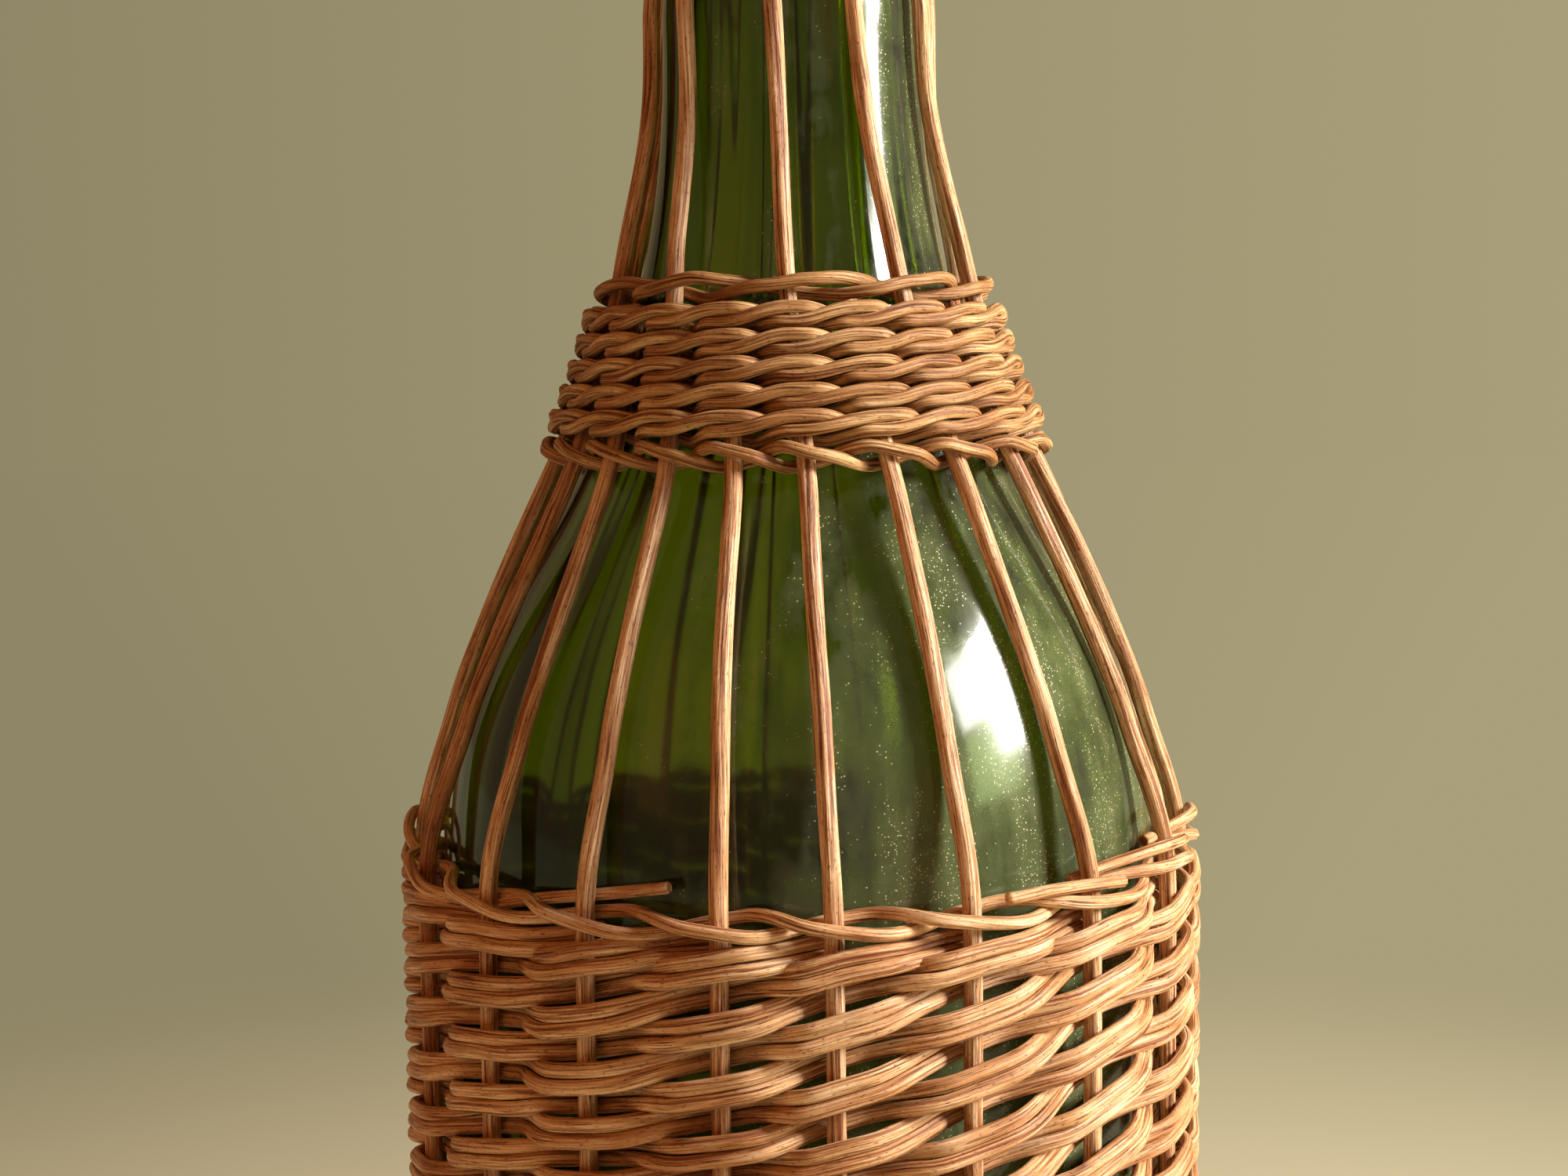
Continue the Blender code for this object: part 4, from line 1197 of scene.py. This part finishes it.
def cork_material():
    """Natural cork bark: warm tan cells, growth bands and dark pores."""
    material, tree, shader = new_material("natural_cork_bark")
    place = add_node(tree, "ShaderNodeTexCoord").outputs["Object"]
    stretched = add_node(tree, "ShaderNodeMapping", inputs={
        "Vector": place, "Scale": (1.0, 0.45, 1.6)}).outputs["Vector"]
    cells = add_node(tree, "ShaderNodeTexNoise", inputs={
        "Vector": place, "Scale": CELLS_PER_METRE, "Detail": 4.0, "Roughness": 0.7}).outputs["Fac"]
    bands = add_node(tree, "ShaderNodeTexNoise", inputs={
        "Vector": stretched, "Scale": BANDS_PER_METRE, "Detail": 3.0, "Roughness": 0.5}).outputs["Fac"]
    pores = add_node(tree, "ShaderNodeTexVoronoi", {"feature": "F1"}, {
        "Vector": stretched, "Scale": 1 / PORE_SPACING, "Randomness": 1.0}).outputs["Distance"]
    ragged = add_node(tree, "ShaderNodeMath", {"operation": "MULTIPLY_ADD"}, {
        0: cells, 1: 0.35, 2: pores}).outputs["Value"]
    pit = add_node(tree, "ShaderNodeMapRange", inputs={
        "Value": ragged, "From Min": 0.26, "From Max": 0.38}).outputs["Result"]
    tan = add_node(tree, "ShaderNodeValToRGB", {
        "stops": [(0.3, "A87B4E"), (0.5, "C79B68"), (0.72, "DDB988")]}, {"Fac": bands}).outputs["Color"]
    for strength, factor, stops in ((0.5, cells, [(0.3, "8F6238"), (0.6, "FFFFFF")]),
                                    (1.0, pit, [(0.0, "4A2C16"), (1.0, "FFFFFF")])):
        by = add_node(tree, "ShaderNodeValToRGB", {"stops": stops}, {"Fac": factor}).outputs["Color"]
        tan = add_node(tree, "ShaderNodeMix", MULTIPLY_COLOUR, {"Factor": strength, 6: tan, 7: by}).outputs[2]
    tree.links.new(tan, shader.inputs["Base Color"])
    relief = add_node(tree, "ShaderNodeMath", {"operation": "MULTIPLY_ADD"}, {
        0: cells, 1: 0.25, 2: pit}).outputs["Value"]
    bump = add_node(tree, "ShaderNodeBump", inputs={
        "Height": relief, "Strength": 0.8, "Distance": 0.0004}).outputs["Normal"]
    tree.links.new(bump, shader.inputs["Normal"])
    shader.inputs["Roughness"].default_value = 0.85
    return material


cork_bark = cork_material()
print("cork material:", cork_bark.name)

# %% [markdown]
# The cork is turned to a slight taper with broken edges, from the same kind of outline as the
# glass: over the top, down the side and under the foot. A cone with a Bevel modifier would do
# as well, but the turned grid is at hand and needs no modifier. The lower 22 mm are inside the
# neck, and the piece rides on the body that the pull moves.

# %% The fine cork
CORK_HEAD = 0.012
CORK_TAPER = 0.0016
CORK_CHAMFER = 0.0008
CORK_SIDES = 96
CORK_FLAT_POINTS = 14
CORK_SIDE_POINTS = 40
CORK_ARC_POINTS = 6
cork_low, cork_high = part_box("cork_stopper")
at_mouth = BORE_RADIUS - CLEARANCE
cork_foot, cork_top = MOUTH - CORK_DEPTH, MOUTH + CORK_HEAD
slope = CORK_TAPER / (CORK_DEPTH + CORK_HEAD)
foot_radius, top_radius = at_mouth - CORK_DEPTH * slope, at_mouth + CORK_HEAD * slope
top_flat, foot_flat = top_radius - CORK_CHAMFER, foot_radius - CORK_CHAMFER
cork_outline = np.concatenate((
    np.linspace((0, cork_top), (top_flat, cork_top), CORK_FLAT_POINTS)[:-1],
    arc(top_flat, cork_top - CORK_CHAMFER, CORK_CHAMFER, 90, 0, CORK_ARC_POINTS),
    np.linspace((top_radius, cork_top), (foot_radius, cork_foot), CORK_SIDE_POINTS)[1:-1],
    arc(foot_flat, cork_foot + CORK_CHAMFER, CORK_CHAMFER, 0, -90, CORK_ARC_POINTS),
    np.linspace((foot_flat, cork_foot), (0, cork_foot), CORK_FLAT_POINTS)[1:],
))
cork = turned_grid(cork_outline, CORK_SIDES)
finish_piece("cork_stopper_bark", [cork], cork_bark, "cork_stopper", "cork")
print("cork:", round(cork_top - cork_foot, 4), "m long, box of its solid", round(cork_high.z - cork_low.z, 4))

# %% [markdown]
# ## Studio: floor and backdrop
#
# The floor is plain and pale. Away from the bottle it fades into the plain background colour,
# so no horizon shows. A curved backdrop would hide the horizon from one side, and the fade
# hides it from every side. That colour is only what the camera sees there, directly, through
# glass or as a reflection: it lights no matt surface. It is a little darker on the left, away
# from the key lamp.

# %% Floor
BACKDROP = linear("A69C78")
FLOOR_REACH = 6.0


def backdrop_shade(tree, direction):
    """The backdrop's strength, a little less on the left: a factor from the direction's X."""
    heading = add_node(tree, "ShaderNodeVectorMath", {"operation": "NORMALIZE"}, {
        0: direction}).outputs["Vector"]
    across = add_node(tree, "ShaderNodeSeparateXYZ", inputs={"Vector": heading}).outputs["X"]
    return add_node(tree, "ShaderNodeMapRange", inputs={
        "Value": across, "From Min": -0.35, "From Max": 0.35, "To Min": 0.72,
        "To Max": 1.05}).outputs["Result"]


def floor_material():
    """Matt floor paint, pale and even near the object, and the background colour far away."""
    material, tree, shader = new_material("pale_floor_paint")
    shader.inputs["Base Color"].default_value = linear("C8C0A2")
    shader.inputs["Roughness"].default_value = 0.8
    place = add_node(tree, "ShaderNodeTexCoord").outputs["Object"]
    distance = add_node(tree, "ShaderNodeVectorMath", {"operation": "LENGTH"}, {0: place}).outputs["Value"]
    far = add_node(tree, "ShaderNodeMapRange", {"interpolation_type": "SMOOTHSTEP"}, {
        "Value": distance, "From Min": 0.16, "From Max": 0.6}).outputs["Result"]
    glow = add_node(tree, "ShaderNodeEmission", inputs={
        "Color": BACKDROP, "Strength": backdrop_shade(tree, place)}).outputs["Emission"]
    rays = add_node(tree, "ShaderNodeLightPath")
    seen = rays.outputs["Is Camera Ray"]
    for kind in ("Is Transmission Ray", "Is Glossy Ray"):
        seen = add_node(tree, "ShaderNodeMath", {"operation": "MAXIMUM"}, {
            0: seen, 1: rays.outputs[kind]}).outputs["Value"]
    share = add_node(tree, "ShaderNodeMath", {"operation": "MULTIPLY"}, {0: far, 1: seen}).outputs["Value"]
    mixed = add_node(tree, "ShaderNodeMixShader", inputs={0: share, 1: shader.outputs[0], 2: glow})
    tree.links.new(mixed.outputs[0], tree.nodes["Material Output"].inputs["Surface"])
    return material


floor_mesh = bpy.data.meshes.new("studio_floor")
corner_signs = ((-1, -1), (1, -1), (1, 1), (-1, 1))
floor_mesh.from_pydata([(x * FLOOR_REACH, y * FLOOR_REACH, 0.0) for x, y in corner_signs], [], [(0, 1, 2, 3)])
floor_mesh.materials.append(floor_material())
studio_floor = bpy.data.objects.new("studio_floor", floor_mesh)
bpy.context.scene.collection.objects.link(studio_floor)
print("floor:", 2 * FLOOR_REACH, "m across")

# %% [markdown]
# The world above the horizon works in the same way: one background is a weak warm light from
# all round, which keeps the shaded canes from going grey, and the other is the plain colour
# that is seen. Reflections show it at half strength, so the gloss on the canes stays low.

# %% World
world = bpy.data.worlds.new("studio_world")
bpy.context.scene.world = world
world.use_nodes = True
sky = world.node_tree
background = sky.nodes["Background"]
background.inputs["Color"].default_value = linear("E09A5C")
background.inputs["Strength"].default_value = 0.22
sky_direction = add_node(sky, "ShaderNodeTexCoord").outputs["Generated"]
seen_sky = add_node(sky, "ShaderNodeBackground", inputs={
    "Color": BACKDROP, "Strength": backdrop_shade(sky, sky_direction)})
rays = add_node(sky, "ShaderNodeLightPath")
seen = add_node(sky, "ShaderNodeMath", {"operation": "MAXIMUM"}, {
    0: rays.outputs["Is Camera Ray"], 1: rays.outputs["Is Transmission Ray"]}).outputs["Value"]
seen = add_node(sky, "ShaderNodeMath", {"operation": "MULTIPLY_ADD", "use_clamp": True}, {
    0: rays.outputs["Is Glossy Ray"], 1: 0.5, 2: seen}).outputs["Value"]
mixed = add_node(sky, "ShaderNodeMixShader", inputs={
    0: seen, 1: background.outputs[0], 2: seen_sky.outputs[0]})
sky.links.new(mixed.outputs[0], sky.nodes["World Output"].inputs["Surface"])
print("world:", world.name)

# %% [markdown]
# ## Lamps
#
# Each lamp is a softbox: a rectangle of light aimed at the bottle. The key stands on the right
# and lights the canes. It isn't seen through the glass, where it would make bright patches.
# Two reflectors in front of it light no matt surface: the upper one is the tall highlight on
# the glass shoulder and the lower one its dim green foot. A weak warm fill from the front
# left opens the shade, and doesn't show in reflections.


# %% Softboxes
def softbox(name, azimuth, elevation, distance, width, tall, power, colour, target_height=0.2):
    """A rectangular lamp at an azimuth (0 is the front, 90 the right) aimed at the bottle."""
    light = bpy.data.lights.new(name, "AREA")
    light.shape = "RECTANGLE"
    light.size, light.size_y = width, tall
    light.energy = power
    light.color = linear(colour)[:3]
    lamp = bpy.data.objects.new(name, light)
    a, e = math.radians(azimuth), math.radians(elevation)
    away = np.array((math.sin(a) * math.cos(e), -math.cos(a) * math.cos(e), math.sin(e)))
    lamp.location = away * distance + (0, 0, target_height)
    lamp.rotation_mode = "XYZ"
    lamp.rotation_euler = (math.pi / 2 - e, 0, a)
    bpy.context.scene.collection.objects.link(lamp)
    return lamp


key = softbox("key_softbox", 79, 24, 1.8, 0.43, 0.61, 80.0, "FFFAF0")
key.visible_transmission = False
for name, elevation, power, colour in (("upper_reflector", 27, 6.0, "FFFBF4"),
                                       ("lower_reflector", 13, 2.0, "C8E09C")):
    reflector = softbox(name, 67, elevation, 1.0, 0.32, 0.22, power, colour)
    reflector.visible_diffuse = False
fill = softbox("fill_softbox", -50, 25, 1.4, 0.8, 0.8, 2.6, "FF9450")
fill.visible_glossy = False
print("lamps:", len(bpy.data.lights))

# %% [markdown]
# ## Camera
#
# The camera stands where the photograph was taken from: 391 mm from the bottle's axis, level
# with the shoulder band, looking slightly down, with a 52 mm lens on a 36 mm sensor. These
# values were found by matching the outlines of the bottle and the cover to the photograph,
# which is 2000 pixels wide. The bottle leans a little to the left in it, so the camera rolls.

# %% Camera
CAMERA_DISTANCE = 0.3915
CAMERA_HEIGHT = 0.248
PITCH_DOWN = 5.34
LEAN_IN_FRAME = 0.62
YAW = 0.33
FOCAL_PIXELS = 2888.6
PHOTO_WIDTH = 2000
camera_data = bpy.data.cameras.new("photo_camera")
camera_data.sensor_width = 36.0
camera_data.lens = FOCAL_PIXELS / PHOTO_WIDTH * camera_data.sensor_width
camera_data.clip_start = 0.01
camera = bpy.data.objects.new("photo_camera", camera_data)
camera.location = (0, -CAMERA_DISTANCE, CAMERA_HEIGHT)
turn_down = Euler((math.radians(90 - PITCH_DOWN), 0, math.radians(YAW)), "XYZ").to_matrix()
roll = Euler((0, 0, math.radians(-LEAN_IN_FRAME)), "XYZ").to_matrix()
camera.rotation_mode = "XYZ"
camera.rotation_euler = (turn_down @ roll).to_euler()
bpy.context.scene.collection.objects.link(camera)
bpy.context.scene.camera = camera
bpy.context.scene.view_settings.view_transform = "Standard"
print("lens:", round(camera_data.lens, 1), "mm")
